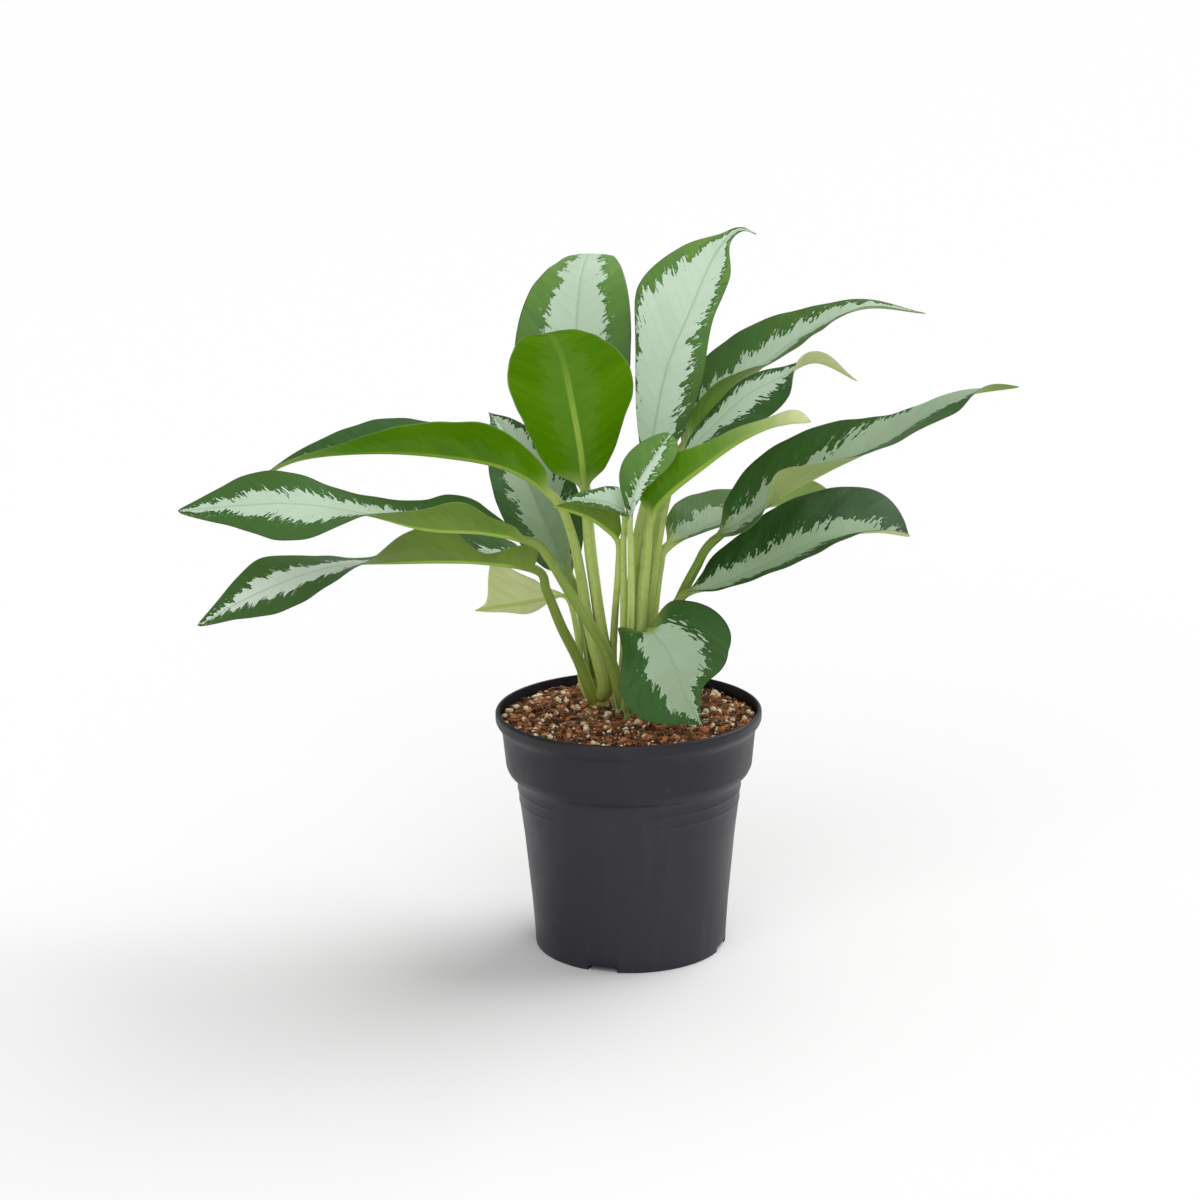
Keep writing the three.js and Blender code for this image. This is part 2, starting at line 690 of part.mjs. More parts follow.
// The soil's top is a disc of rings with seeded bumps; its side follows the pot's inside.
function makeSoil() {
  const random = seeded(SOIL.seed);
  const side = wallInside(CLEARANCE + 0.1).filter(([z]) => z > 6 && z < SOIL.height - 4);
  const floor = POT_FLOOR.top + CLEARANCE;
  const profile = [[floor, radiusAt(wallInside(CLEARANCE + 0.1), floor) - 0.4], ...side];
  const edge = radiusAt(wallInside(CLEARANCE + 0.1), SOIL.height - 3);
  profile.push([SOIL.height - 3, edge]);
  const rings = profile.map(([z, r]) => circle(r, () => z));
  for (let i = 1; i < SOIL.rings; i++) {
    const share = 1 - i / SOIL.rings;
    const height = SOIL.height + 0.9 * (1 - share);
    rings.push(circle(edge * share, () => height + SOIL.bump * (2 * random() - 1)));
  }
  let soil = solidFromRings(rings);
  soil = Manifold.union([soil, ...perlite(edge)]);
  for (const cane of Object.values(CANES)) {
    const drill = new THREE.CylinderGeometry(cane.radius + CLEARANCE, cane.radius + CLEARANCE, 60, 20);
    drill.rotateX(Math.PI / 2).translate(cane.x, cane.y, cane.foot - CLEARANCE + 30);
    soil = soil.subtract(solidOf(drill));
  }
  return soil;
}

function circle(radius, height) {
  const ring = [];
  for (let k = 0; k < SOIL.sectors; k++) {
    const angle = (2 * Math.PI * k) / SOIL.sectors;
    ring.push(new THREE.Vector3(radius * Math.cos(angle), radius * Math.sin(angle), height()));
  }
  return ring;
}

// White grains half sunk in the soil, clear of the canes and of the pot.
function perlite(edge) {
  const random = seeded(PERLITE.seed);
  const grains = [];
  while (grains.length < PERLITE.count) {
    const distance = (edge - 4) * Math.sqrt(random());
    const angle = 2 * Math.PI * random();
    const x = distance * Math.cos(angle);
    const y = distance * Math.sin(angle);
    const size = PERLITE.smallest + (PERLITE.largest - PERLITE.smallest) * random();
    const turns = [2 * Math.PI * random(), 2 * Math.PI * random()];
    const near = Object.values(CANES).some((c) => Math.hypot(x - c.x, y - c.y) < c.radius + size + 2);
    if (near) continue;
    const grain = new THREE.IcosahedronGeometry(size, 0).rotateX(turns[0]).rotateZ(turns[1]);
    grains.push(solidOf(grain.translate(x, y, SOIL.height + 0.5)));
  }
  return grains;
}

function makeCane(cane) {
  const { x, y, radius, topRadius, top, foot } = cane;
  const outline = [
    [foot, 0],
    [foot, radius - 1],
    [foot + 6, radius],
    [133, radius],
    [(133 + top) / 2, (radius + topRadius) / 2],
    [top - 2, topRadius],
    [top, topRadius - 1.6],
    [top, 0],
  ];
  return turned(outline, 16, x, y);
}

// Small pale pointed scales at the foot of the canes.
const SCALES = {
  sheath_1: { stalk: [[-6, -1, 132], [-6, -2, 137]], blade: [[-7, -4, 143], [-8, -5, 151]], half: 3.6 },
  sheath_2: { stalk: [[-1, -8, 132], [-1, -9, 137]], blade: [[-2, -11, 142], [-3, -12, 149]], half: 3.2 },
};

function scaleSolid(scale) {
  const leaf = {
    ...scale,
    face: [0, -1, 0.2],
    left: [-35],
    right: [-35],
    wave: 0,
    small: true,
    rings: { stalk: 2, blade: 6 },
  };
  return leafSolid(leaf);
}

// ---------------------------------------------------------------- assembly

function addNode(group, name, made, look) {
  const mesh = made.getMesh();
  const geometry = new THREE.BufferGeometry();
  const positions = new Float32Array(mesh.numVert * 3);
  for (let i = 0; i < mesh.numVert; i++) {
    for (let k = 0; k < 3; k++) positions[3 * i + k] = mesh.vertProperties[i * mesh.numProp + k];
  }
  geometry.setAttribute("position", new THREE.BufferAttribute(positions, 3));
  geometry.setIndex(new THREE.BufferAttribute(new Uint32Array(mesh.triVerts), 1));
  const node = new THREE.Mesh(geometry, new THREE.MeshStandardMaterial({ ...look, name }));
  node.name = name;
  group.add(node);
}

// The largest piece of a solid, in case trimming left a crumb beside it.
function largestPiece(made) {
  const pieces = made.decompose();
  pieces.sort((a, b) => b.volume() - a.volume());
  return pieces[0];
}

function build() {
  const group = new THREE.Group();
  group.name = "potted_chinese_evergreen";
  addNode(group, "pot", makePot(), PLASTIC);
  const soil = makeSoil();
  addNode(group, "soil", soil, EARTH);

  const room = [];
  for (const [name, cane] of Object.entries(CANES)) {
    addNode(group, name, makeCane(cane), CANE);
    const wider = { ...cane, radius: cane.radius + CLEARANCE, topRadius: cane.topRadius + CLEARANCE };
    room.push(makeCane({ ...wider, top: cane.top + CLEARANCE }));
  }
  const leaves = {};
  for (const name of GIVE_WAY) {
    const leaf = LEAVES[name];
    const cut = leafSolid(leaf).subtract(Manifold.union(room));
    leaves[name] = largestPiece(cut);
    room.push(stalkRoom(leaf));
  }
  room.push(soil.translate([0, 0, CLEARANCE]));
  for (const name of Object.keys(LEAVES)) addNode(group, name, leaves[name], LEAVES[name].look);
  for (const [name, scale] of Object.entries(SCALES)) {
    const cut = scaleSolid(scale).subtract(Manifold.union(room));
    addNode(group, name, largestPiece(cut), SHEATH);
  }
  return group;
}

export default build();
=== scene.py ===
"""Potted chinese evergreen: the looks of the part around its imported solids.

The leaves, canes, soil and pot repeat the named values of the part's source, in millimetres,
and are built again as finer pieces that stand in the same places.
"""

import math
import random

import bmesh
import bpy
import numpy as np
from mathutils import Matrix, Vector, noise


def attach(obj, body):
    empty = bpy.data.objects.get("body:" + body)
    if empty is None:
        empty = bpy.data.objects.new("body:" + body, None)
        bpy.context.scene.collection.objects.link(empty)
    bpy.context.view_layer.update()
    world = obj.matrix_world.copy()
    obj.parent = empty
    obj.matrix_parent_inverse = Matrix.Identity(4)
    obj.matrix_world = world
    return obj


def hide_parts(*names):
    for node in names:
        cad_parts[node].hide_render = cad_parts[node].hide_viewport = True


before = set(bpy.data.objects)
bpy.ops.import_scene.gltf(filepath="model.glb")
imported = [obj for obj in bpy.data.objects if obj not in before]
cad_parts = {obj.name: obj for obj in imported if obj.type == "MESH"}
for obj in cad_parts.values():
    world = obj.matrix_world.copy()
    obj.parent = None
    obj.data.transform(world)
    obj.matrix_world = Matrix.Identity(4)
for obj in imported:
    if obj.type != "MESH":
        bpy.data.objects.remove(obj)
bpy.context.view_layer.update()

MM = 0.001  # every length below is in millimetres, and meshes are made in metres

# ---------------------------------------------------------------- pot, soil and canes: dimensions

POT_WALL = 1.3
POT_SECTORS = 240
POT_ROUNDING = 0.9  # radius of the rounded edges
# Outside of the pot, [height, radius], from the foot up to the lip.
POT_OUTSIDE = [
    [0, 54.6], [10, 55.1], [28, 56.4], [65, 59.9], [85.5, 62.4], [86.6, 62.9], [88, 62.7],
    [92.5, 63.2], [93.6, 63.7], [95, 63.5], [98, 63.9], [100.5, 65], [103.5, 68.2], [107, 69.8],
    [125, 71.5], [129, 72.3], [131.5, 74.4], [133.5, 75.3], [137.8, 75.3], [139, 74.4],
]
# Heights of the thin rings, the step and the lip, which the inside of the wall passes straight by.
OUTSIDE_ONLY = [85.5, 86.6, 88, 92.5, 93.6, 95, 100.5, 133.5, 137.8]
POT_FLOOR = dict(underside=3, top=4.6, pad_radius=22, foot_radius=47, slope=1.5)
NOTCH = dict(count=4, width=17, height=3, radius=54, first_angle=252)
DRAIN = dict(count=6, radius=4.5, circle=34, first_angle=30, sides=32, drilled=[-2, 8])

SOIL = dict(
    height=134.3, depth=4.9, edge_gap=0.4, cells=190, mound=1.3, sunk=0.6, edge_drop=1.6, edge_width=6
)
SOIL_LUMPS = [[1.5, 13, 3.1], [1.2, 5, 8.7], [0.8, 2.1, 1.9]]  # height, size and seed of its lumps
# Grains on the soil: smallest and largest size, how flat and rough they are, and how far the middle
# of a grain is raised above the soil, as a share of its thickness.
BARK = dict(
    count=1500, smallest=0.7, largest=2.9, flatness=(0.35, 0.8), roughness=0.9, raised=0.25,
    subdivisions=1, seed=11,
)
PERLITE = dict(
    count=520, smallest=0.5, largest=2.1, flatness=(0.65, 1.0), roughness=0.7, raised=0.35,
    subdivisions=2, seed=7,
)
# For every grain: the room it leaves at the wall and, as a share of its size, at the canes. Above 1,
# favour_small makes large grains rarer. width, tilt, bump_scale and bump_range vary their forms.
GRAIN = dict(
    wall_room=1.5, cane_room=0.6, favour_small=2.2, width=(0.6, 1), tilt=0.6, bump_scale=1.7, bump_range=40
)
FIBRES = dict(
    count=420, length=(5, 24), radius=(0.1, 0.24), arch=(0.3, 2.6), curl=2.4, wander=0.12, lift=0.25,
    thinning=0.6, wall_room=1, start_wall_room=5, cane_room=0.5, start_cane_room=1.5,
    sides=5, steps=16, seed=23,
)

# Canes: centre on the soil, radius at the soil, radius and height of the top, height of the foot.
CANES = {
    "cane_a": dict(x=-17, y=20, radius=6.2, top_radius=4.8, top=150, foot=112),
    "cane_b": dict(x=3, y=3, radius=7, top_radius=5.2, top=158, foot=112),
}
CANE_SIDES = 48
CANE_TAPER_FROM = 133
SCAR = dict(spacing=6.5, first=3, height=0.35, width=0.7)  # rings that old leaves left on a cane

# ---------------------------------------------------------------- camera and light: settings

CAMERA = dict(elevation=14.3, roll=-0.72, focal_px=2679, image_px=1200, distance=1500)
CAMERA_AIM = (-15.35, 0, 201.7)
FLOOR_REACH = 60000
# Lamps: the direction that the light comes from, the angle it fills, and its strength.
LAMPS = {
    "key": dict(comes_from=(0.75, 0.45, 1.0), angle=56, strength=2.0),
    "front": dict(comes_from=(-0.2, -1.0, 0.7), angle=70, strength=0.98),
}
SKY_STRENGTH = 0.4

# ---------------------------------------------------------------- the leaves: dimensions

LARGE_STALK = [3.9, 3.3, 2.6]  # radius of a leaf's stalk from its foot to the blade
SMALL_STALK = [2.3, 2.1, 1.7]
ROOT_DROP = 10  # every stalk springs from inside its cane, this far below its first point
ROOT_SHARE = 0.3
LINE_STEPS = 40  # steps of a centre line between two control points
# Stalk: a channel along its upper side, which opens to a sheath with two lips towards the foot.
STALK = dict(
    rows=40, sheath=(0.35, 0.75), channel=0.16, sheath_channel=0.3, channel_angle=30,
    lip=0.14, lip_at=46, lip_angle=14, pale_lip_angle=9, mm_per_degree=0.06,
)
# Blade: the rows lie closer towards the base, and the last one just before the tip.
BLADE = dict(
    rows=110, crowding=1.12, last_row=0.992, narrowest=0.35, grows_from_stalk=0.09,
    thickness=0.6, midrib=1.5, midrib_width=1.9, groove=0.3, groove_width=0.9,
    quilt=0.3, ripple=0.22, ripple_length=19, waves=2.5, lobe_reach=0.35, thinning=0.55,
)
# Side veins: their spacing, how far they lean towards the tip, how much more so at the margin, and
# how far the two halves are staggered.
VEINS = dict(spacing=8.5, lean=0.72, curve=0.008, stagger=0.45)
# How far the teeth of the silver reach: a share of the width, between a least and a most.
FEATHER = dict(share=0.22, least=0.5, most=6.0)
NO_SILVER = -20.0  # a distance from the silver's edge, for the stalks
# Places across a half blade, from the midrib to the margin.
ACROSS = [0, 0.03, 0.065, 0.11, 0.17, 0.25, 0.34, 0.44, 0.54, 0.64, 0.74, 0.83, 0.91, 0.965, 1]

# bright above 1 adds painted light, lifting the silver towards white.
# The shape of a leaf. Lists of settings run along the blade, from its base to its tip.
# stalk and blade: points of the centre line, the blade starts at the last stalk point.
# face: the way the upper side faces at the middle of the blade.
# half: half of the greatest width. peak: where along the blade that is.
# full: below 1 for a fuller outline. drip: how much the tip is drawn in, drip_power: how late.
# bend: how much further each half curls up from midrib to margin, in degrees.
# roll: turn of the blade about its centre line, in degrees.
# left and right: how far each half is folded up from flat, in degrees.
# wide_left and wide_right: the width of each half against the regular outline.
# wave: height of the waves of the margin. small: whether the stalk is a thin one.
# back: how far the left and the right base lobe sweep back.
# Its colours. silver: the silvery share of the left and of the right half.
# fresh: 0 for deep green margins, 1 for light ones. bright: how light the silver is.
# vivid: 0 for an olive underside, 1 for a bright green one. pale: how far it fades to cream.
# tone: 0 for a dark olive stalk, 1 for a pale one.
LEAF_COMMON = dict(
    peak=0.42, full=0.8, drip=0.72, drip_power=6, bend=0.01, roll=[0], back=[0, 0], small=False,
    wide_left=[1], wide_right=[1], fresh=[0.1], bright=[0.6], vivid=[0.5], pale=[0], tone=[0.75],
)

LEAVES = {
    "leaf_01": dict(
        cane="cane_a", face=[0, 0, 1], half=30, peak=0.4, bend=-10, wave=0.8,
        stalk=[
            [-14, 12, 150], [-19, 11, 172], [-23, 11, 192], [-26, 9, 215], [-31, 6, 240], [-40, 2, 260],
        ],
        blade=[[-66, -4, 278.5], [-100, -8, 286.5], [-139, -8, 289], [-180, -4, 284.5], [-209, 0, 270.5]],
        left=[60, 60, 55, 49, 40, 30], right=[40, 36, 34, 34, 33, 30],
        wide_left=[0.5, 0.72, 0.88, 1.12, 1.02, 0.86, 0.7, 0.52, 0.35, 0.37, 0.4],
        wide_right=[1, 0.85, 0.85, 1.15, 0.75, 0.5],
        silver=[[0.4, 0.5, 0.4, 0], [0.2, 0.3, 0.2, 0]],
        vivid=[1], pale=[0, 0, 0, 0.5],
    ),
    "leaf_02": dict(
        cane="cane_a", face=[0.1, -1, 0.6], half=25, wave=1,
        stalk=[[-20, 28, 150], [-23, 30, 172], [-28, 32, 197], [-32, 33, 206]],
        blade=[[-39, 40, 219], [-48, 56, 238], [-60, 76, 263], [-71, 96, 282], [-80, 112, 289]],
        left=[20], right=[20],
        silver=[[0.5, 0.55, 0.5, 0.2], [0.5, 0.6, 0.72, 0.7, 0.5]],
        # bright from 0 at the base: painted shade on the silver's lower part, under leaf_01.
        bright=[0, 0.1, 0.6, 0.9], tone=[0.2],
    ),
    "leaf_03": dict(
        cane="cane_a", face=[0, 1, 0.8], half=35, peak=0.48, full=0.9, drip=0.6, bend=-10, wave=0.6,
        stalk=[
            [-10, 16, 150], [-14, 15, 175], [-18, 12, 205], [-21, 9, 230], [-22, 7, 246], [-23, 3, 263],
        ],
        blade=[[-25, -14, 291], [-29, -38, 321], [-33, -66, 348], [-38, -98, 366], [-43, -130, 372]],
        left=[8], right=[8],
        wide_left=[1.2, 1, 0.91, 0.88, 0.97, 0.98, 0.96, 0.96, 0.98, 0.99, 1],
        wide_right=[2.2, 1.5, 1.12, 0.95, 0.92, 0.93, 0.92, 0.92, 0.95, 1, 1],
        silver=[[0.4, 0.5, 0.4, 0.3], [0.4, 0.5, 0.4, 0.3]],
        vivid=[1], tone=[0.9],
    ),
    "leaf_04": dict(
        cane="cane_a", face=[0, -1, 0.6], half=32, peak=0.4, roll=[-6], wave=1.2,
        stalk=[[-13, 28, 150], [-16, 27, 184], [-20, 26, 224], [-23, 27, 267]],
        blade=[[-26, 32, 304], [-27, 42, 342], [-24, 64, 374], [-19, 96, 384], [-15, 128, 374]],
        left=[10, 10, 5, -4, -10, -10], right=[14, 12, 8, 0, -4, -4],
        wide_left=[1, 1.12, 1.02, 0.94, 1],
        silver=[[0.4, 0.5, 0.5, 0.5], [0.4, 0.5, 0.52, 0.5]],
        fresh=[0.3, 0.5, 0.85, 1], bright=[0.8], tone=[0.9],
    ),
    "leaf_05": dict(
        cane="cane_b", face=[0.2, -1, 0.5], half=31, peak=0.5, drip=0.85, drip_power=7, wave=0.9,
        stalk=[[-2, 11, 150], [2, 14, 197], [7, 15, 237], [13, 13, 264]],
        blade=[
            [16, 15, 295], [24, 23, 330], [37, 34, 359], [49, 47, 384], [58.5, 54, 396.5], [67, 58, 401],
            [76, 60, 398],
        ],
        left=[8], right=[24],
        wide_left=[0.45, 0.5, 0.65, 1.12, 1, 0.45, 0.4, 0.4],
        wide_right=[0.8, 0.85, 0.72, 0.5, 0.68, 0.35, 0.4, 0.4],
        silver=[
            [1, 1, 0.95, 0.88, 0.66, 0.46, 0.4, 0.5, 1],
            [0.7, 0.65, 0.6, 0.53, 0.67, 0.55, 0.25, 0.4, 1],
        ],
        fresh=[0.2, 0.4, 0.75, 1, 0.9], bright=[1], tone=[0.8],
    ),
    "leaf_06": dict(
        cane="cane_b", face=[-0.3, -0.1, 1], half=30, wave=1,
        stalk=[[5, 12, 150], [9, 15, 198], [15, 17, 237], [24, 17, 269], [31, 19, 283]],
        blade=[[49, 30, 305], [75, 42, 324], [102, 54, 342], [136, 62, 355], [173, 68, 351]],
        left=[26, 28, 27, 22, 20], right=[60, 52, 16, 14, 14, 14],
        wide_left=[1.1, 1.2, 1.1, 0.85, 0.7, 0.6], wide_right=[0.8, 0.8, 0.95, 1, 1, 1],
        silver=[[0.5, 0.42, 0.38, 0.42, 0.6, 0.5], [0.5, 0.5, 0.5, 0.5]],
        fresh=[0.3], vivid=[0.6, 0.6, 0.3], pale=[0, 0.1, 0.3, 0],
    ),
    "leaf_07": dict(
        cane="cane_b", face=[-0.5, -0.2, 1], half=18, wave=0.6, small=True,
        stalk=[[7, 5, 162], [13, 4, 199], [19, 3, 240], [25, 1, 268], [29, 0, 278]],
        blade=[[44, 0, 296], [65, -1, 316], [85, -3, 327], [104, -5, 335.5], [127, -6, 325]],
        left=[12, 12, 12, 12, 0, 0], right=[0, -5, -20, -15, 55, 60],
        wide_left=[0.85, 0.85, 0.85, 0.7, 0.45, 0.4], wide_right=[1, 1.1, 1.35, 1.3, 1.2, 1.2],
        silver=[[0.6, 0.62, 0.6, 0.5], [0.6, 0.5, 0.25, 0.05]],
        bright=[0.7], vivid=[0.4], pale=[0.2, 0.6, 0.9, 0.9],
    ),
    "leaf_08": dict(
        cane="cane_b", face=[-0.3, 0.2, 1], half=24, full=0.6, drip=0.1, wave=0.5,
        stalk=[[5, -1, 162], [8, -4, 201], [11, -6, 231], [13, -7, 249]],
        blade=[[22, -24, 266], [40, -48, 286], [60, -70, 305], [79, -86, 316.5], [94, -97, 320]],
        left=[30, 30, 28, 15, -10, -20], right=[60, 62, 60, 60, 65, 70],
        wide_left=[1.2, 1.15, 0.75, 0.35, 0.7, 1], wide_right=[0.8, 1, 0.6, 0.4, 0.5, 1.6],
        silver=[[0.5, 0.5, 0.4, 0.2], [0.5, 0.5, 0.4, 0.2]],
        vivid=[1, 1, 0.9, 0.7], pale=[0, 0, 0.25, 1],
    ),
    "leaf_09": dict(
        cane="cane_b", face=[0.3, -0.9, 0.3], half=12, peak=0.62, full=0.5, drip=0, wave=0.4, small=True,
        stalk=[[1, -2, 162], [2, -10, 203], [2, -18, 238], [1.5, -25, 252]],
        blade=[[5, -36, 273.5], [13.8, -45, 290.5], [23, -51, 305.5]],
        left=[-30], right=[12],
        wide_left=[0.6, 1.15, 1, 0.7], wide_right=[0.3, 0.5, 0.8, 1.3],
        silver=[[0.5, 0.1, 0, 0], [1, 0.8, 0.35, 0.1]],
        fresh=[0.3, 0.7, 0.9], bright=[0.9], vivid=[0.6], tone=[0.8],
    ),
    "leaf_10": dict(
        cane="cane_a", face=[0.3, 0.1, 1], half=18, wave=0.5, small=True,
        stalk=[[-9, 22, 152], [-8, 17, 172], [-7, 8, 190], [-6, -1, 205], [-5, -5, 220], [-5, -7, 237]],
        blade=[[-13, -9, 246], [-24, -12, 253], [-41, -15, 259]],
        left=[58], right=[35],
        wide_left=[0.3, 0.85, 0.95, 1], wide_right=[0.7],
        silver=[[0.4], [0.4]],
        vivid=[0.1],
    ),
    "leaf_11": dict(
        cane="cane_b", face=[0, 0, 1], half=27, full=0.6, wave=0.8,
        stalk=[[10, 8, 150], [14, 7, 189], [18, 10, 217], [22, 13, 228]],
        blade=[[41, 24, 236], [64, 42, 241], [88, 60, 242], [110, 76, 239], [132, 88, 233]],
        left=[32, 24, 12, 10, 10], right=[22, 15, 12, 45, 50, 50],
        wide_left=[0.9, 1.1, 1.1, 1, 0.9], wide_right=[0.8, 0.8, 0.9, 1, 1],
        silver=[[0.5, 0.4, 0.3, 0.2], [0.6, 0.5, 0.4, 0.2]],
        fresh=[0.4], bright=[0.4], vivid=[0.8], pale=[0, 0.1, 0.2, 0.2],
    ),
    "leaf_12": dict(
        cane="cane_b", face=[-0.5, -0.1, 1], half=34, wave=0.6,
        stalk=[[11, 3, 150], [19, 0, 178], [29, -5, 203], [38, -9, 222], [47, -12, 237]],
        blade=[[75, -16, 258], [108, -20, 277.5], [142, -24, 295], [178, -26, 318], [212, -28, 324.5]],
        left=[28, 42, 30, 16, 8, 10], right=[0, 0, 8, 38, 27, 20, 14, 6, -5, 38, 75],
        wide_left=[0.9, 0.98, 1, 0.87, 0.62, 0.45], wide_right=[1, 1, 1, 1.08, 1.15, 1.7],
        silver=[[0.4, 0.36, 0.4, 0.85, 1.3, 1.3], [0.55, 0.55, 0.3, 0.2, 0.2, 0.05]],
        fresh=[0.1], bright=[0.35], vivid=[0.2], pale=[0.3, 0.3, 0.3, 0.1], tone=[0.1],
    ),
    "leaf_13": dict(
        cane="cane_b", face=[-0.2, 0, 1], half=36, peak=0.58, full=0.5, drip=0.2, wave=0.5,
        stalk=[[10, -3, 150], [18, -9, 181], [30, -15, 207]],
        blade=[[49, -14, 213], [79, -7, 224], [110, 3, 235], [139, 12, 236], [159.5, 18, 232]],
        left=[20, 30, 34, 38, 43, 46], right=[12, 6, 4, 7, 12, 14],
        wide_left=[0.2, 0.9, 0.9, 0.95, 1.28, 1.9], wide_right=[0.8, 0.9, 0.9, 0.8, 0.7, 0.6],
        silver=[[0.45, 0.36, 0.34, 0.3, 0.2, 0.1], [0.6, 0.6, 0.5, 0.4]],
        fresh=[0], bright=[0.35], vivid=[0.2], pale=[0.5], tone=[0.15],
    ),
    "leaf_14": dict(
        cane="cane_b", face=[0.15, -1, 0.35], half=31, peak=0.36, wave=0.6, back=[17, 28],
        stalk=[[4, -5, 148], [6, -11, 168], [9, -20, 184], [12, -27, 190]],
        blade=[[20, -36, 184], [26, -44, 172.5], [30, -49, 160], [40, -52, 143]],
        left=[6], right=[6],
        wide_left=[0.95, 1.2, 1.02, 0.6, 0.35], wide_right=[0.5, 0.82, 1.15, 1.38, 1.45],
        silver=[[0.45, 0.5, 0.5, 0.5, 0.2], [0.5, 0.5, 0.45, 0.4, 0.2]],
        # tone 0.2: painted shade, darkening the stalk and the base of the blade in the fold between the
        # lobes.
        fresh=[0.1], bright=[0.5, 0.4, 0.25, 0.2], tone=[0.2],
    ),
    "leaf_15": dict(
        cane="cane_a", face=[0, 0.9, 0.5], half=25, peak=0.72, full=0.9, wave=0.5, small=True,
        stalk=[[-26, 24, 146], [-28, 34, 170], [-34, 44, 192]],
        blade=[[-47, 50, 190.7], [-61, 56, 186.5], [-74.5, 60, 183.5], [-88.5, 62, 180.5]],
        left=[8], right=[8],
        wide_left=[3, 2.8, 2.5, 2, 1.6, 1.45, 0.95, 0.3, 0.3],
        wide_right=[1, 1.2, 1, 0.8, 0.6, 0.4, 0.3, 0.3, 0.4],
        silver=[[0], [0]],
        vivid=[1], pale=[0.86], tone=[0.9],
    ),
    "leaf_16": dict(
        cane="cane_a", face=[0, 0, 1], half=32, full=0.6, drip=0.45, wave=0.4, back=[17, 8],
        stalk=[[-22, 15, 147], [-28, 13, 164], [-37, 9, 184], [-45, 5, 206], [-51, 2.5, 219]],
        blade=[
            [-85, -4, 225.7], [-124, -10, 227.6], [-163, -12, 226], [-203, -10, 212], [-240.5, -6, 191.5],
        ],
        left=[55, 55, 55, 55, 48, 14, -15, -25, -27, -28, -28],
        right=[35, 35, 35, 30, 15, -5, 0, 15, 36, 36, 30],
        wide_left=[1.5, 1, 0.27, 0.93, 0.85, 0.62, 0.68, 0.95, 1.12, 1, 1],
        wide_right=[1, 0.9, 0.9, 0.8, 0.7, 0.7, 0.85, 0.95, 1.2, 1.2, 1.1],
        silver=[[0.5, 0.5, 0.45, 0.45, 0.4, 0.2], [0.5, 0.5, 0.4, 0.45, 0.4, 0.2]],
        # bright above 1: painted light on the top of this leaf's silver.
        fresh=[0.25], bright=[1.4], vivid=[0.15], pale=[0.05], tone=[0.2],
    ),
    "leaf_17": dict(
        cane="cane_b", face=[0, 0, 1], half=31, full=0.6, drip=0.45, wave=0.4,
        stalk=[
            [-4, -3, 147], [-11, -9, 172], [-20, -14, 190], [-32, -18, 211], [-43, -21, 231],
            [-52, -24, 241],
        ],
        blade=[[-78, -37, 250], [-109, -44, 254], [-143, -46, 263.5], [-185, -45, 269], [-243, -38, 264]],
        left=[50, 55, 55, 55, 50, 30, 5, -22, -33, -35, -35],
        right=[38, 38, 38, 38, 36, 32, 30, 30, 34, 34, 32],
        wide_left=[0.5, 0.45, 0.52, 0.86, 0.68, 0.58, 0.68, 0.98, 1.15, 1, 1],
        wide_right=[0.4, 0.5, 0.85, 0.9, 0.68, 0.52, 0.48, 0.62, 1, 1.45, 1.2],
        silver=[[0.4, 0.5, 0.5, 0.5, 0.4, 0.2], [0.4, 0.4, 0.5, 0.5, 0.4, 0.2]],
        fresh=[0.25], bright=[0.8], vivid=[0.35], pale=[0.05], tone=[0.25],
    ),
    "leaf_18": dict(
        cane="cane_b", face=[0, -0.5, 1], half=12, peak=0.32, wave=0.5, small=True,
        stalk=[[-2, 2, 162], [-2, -4, 203], [-2, -11.5, 236], [-1.5, -19.5, 255]],
        blade=[[-10, -27, 263], [-23, -33, 266.5], [-37, -37, 266]],
        left=[10], right=[38],
        wide_right=[1.4, 0.8, 0.6, 0.6],
        silver=[[0.6, 0.6, 0.4, 0.2], [1, 1, 0.7, 0.3, 0.1]],
        fresh=[0.6], bright=[0.9], vivid=[0.5], tone=[0.8],
    ),
}

# Small pale pointed scales at the foot of the canes.
SCALES = {
    "sheath_1": dict(
        half=3.6, stalk=[[-6, -1, 132], [-6, -2, 137]], blade=[[-7, -4, 143], [-8, -5, 151]],
    ),
    "sheath_2": dict(
        half=3.2, stalk=[[-1, -8, 132], [-1, -9, 137]], blade=[[-2, -11, 142], [-3, -12, 149]],
    ),
}
SCALE_COMMON = dict(face=[0, -1, 0.2], left=[-35], right=[-35], wave=0, small=True, silver=[[0], [0]])
SCALE_ROWS = dict(blade_rows=30, stalk_rows=8)

# The display colours that the colour settings choose between, at 0 and at 1.
LEAF_COLOURS = dict(
    fresh=[(38, 72, 24), (116, 160, 72)],
    bright=[(122, 146, 104), (210, 232, 208)],
    vivid=[(98, 122, 46), (82, 133, 0)],
    tone=[(84, 114, 22), (196, 216, 122)],
)
CREAM = (232, 238, 178)
# Noise at the edge of the silver: its height, length across the blade, width along it and seed.
TEETH = [[2.6, 9.0, 3.8, 0.0], [2.2, 4.4, 1.7, 5.0], [1.8, 18.0, 9.0, 41.0]]
# The finish of each leaf, by the side and the silver that it shows.
FINISHES = {
    "leaf_silver": "02 04 05 06 07 09 12 13 14 17 18",
    "leaf_green": "01 03 08",
    "leaf_olive": "10 11 16",
    "leaf_pale": "15",
}

# ---------------------------------------------------------------- small helpers


def colour(red, green, blue):
    """A linear colour with alpha, from display values between 0 and 255."""
    parts = [v / 255 for v in (red, green, blue)]
    linear = [v / 12.92 if v <= 0.04045 else ((v + 0.055) / 1.055) ** 2.4 for v in parts]
    return (*linear, 1.0)


def unit(vectors):
    """The vectors of an array, each at length 1."""
    return vectors / np.maximum(np.linalg.norm(vectors, axis=-1, keepdims=True), 1e-12)


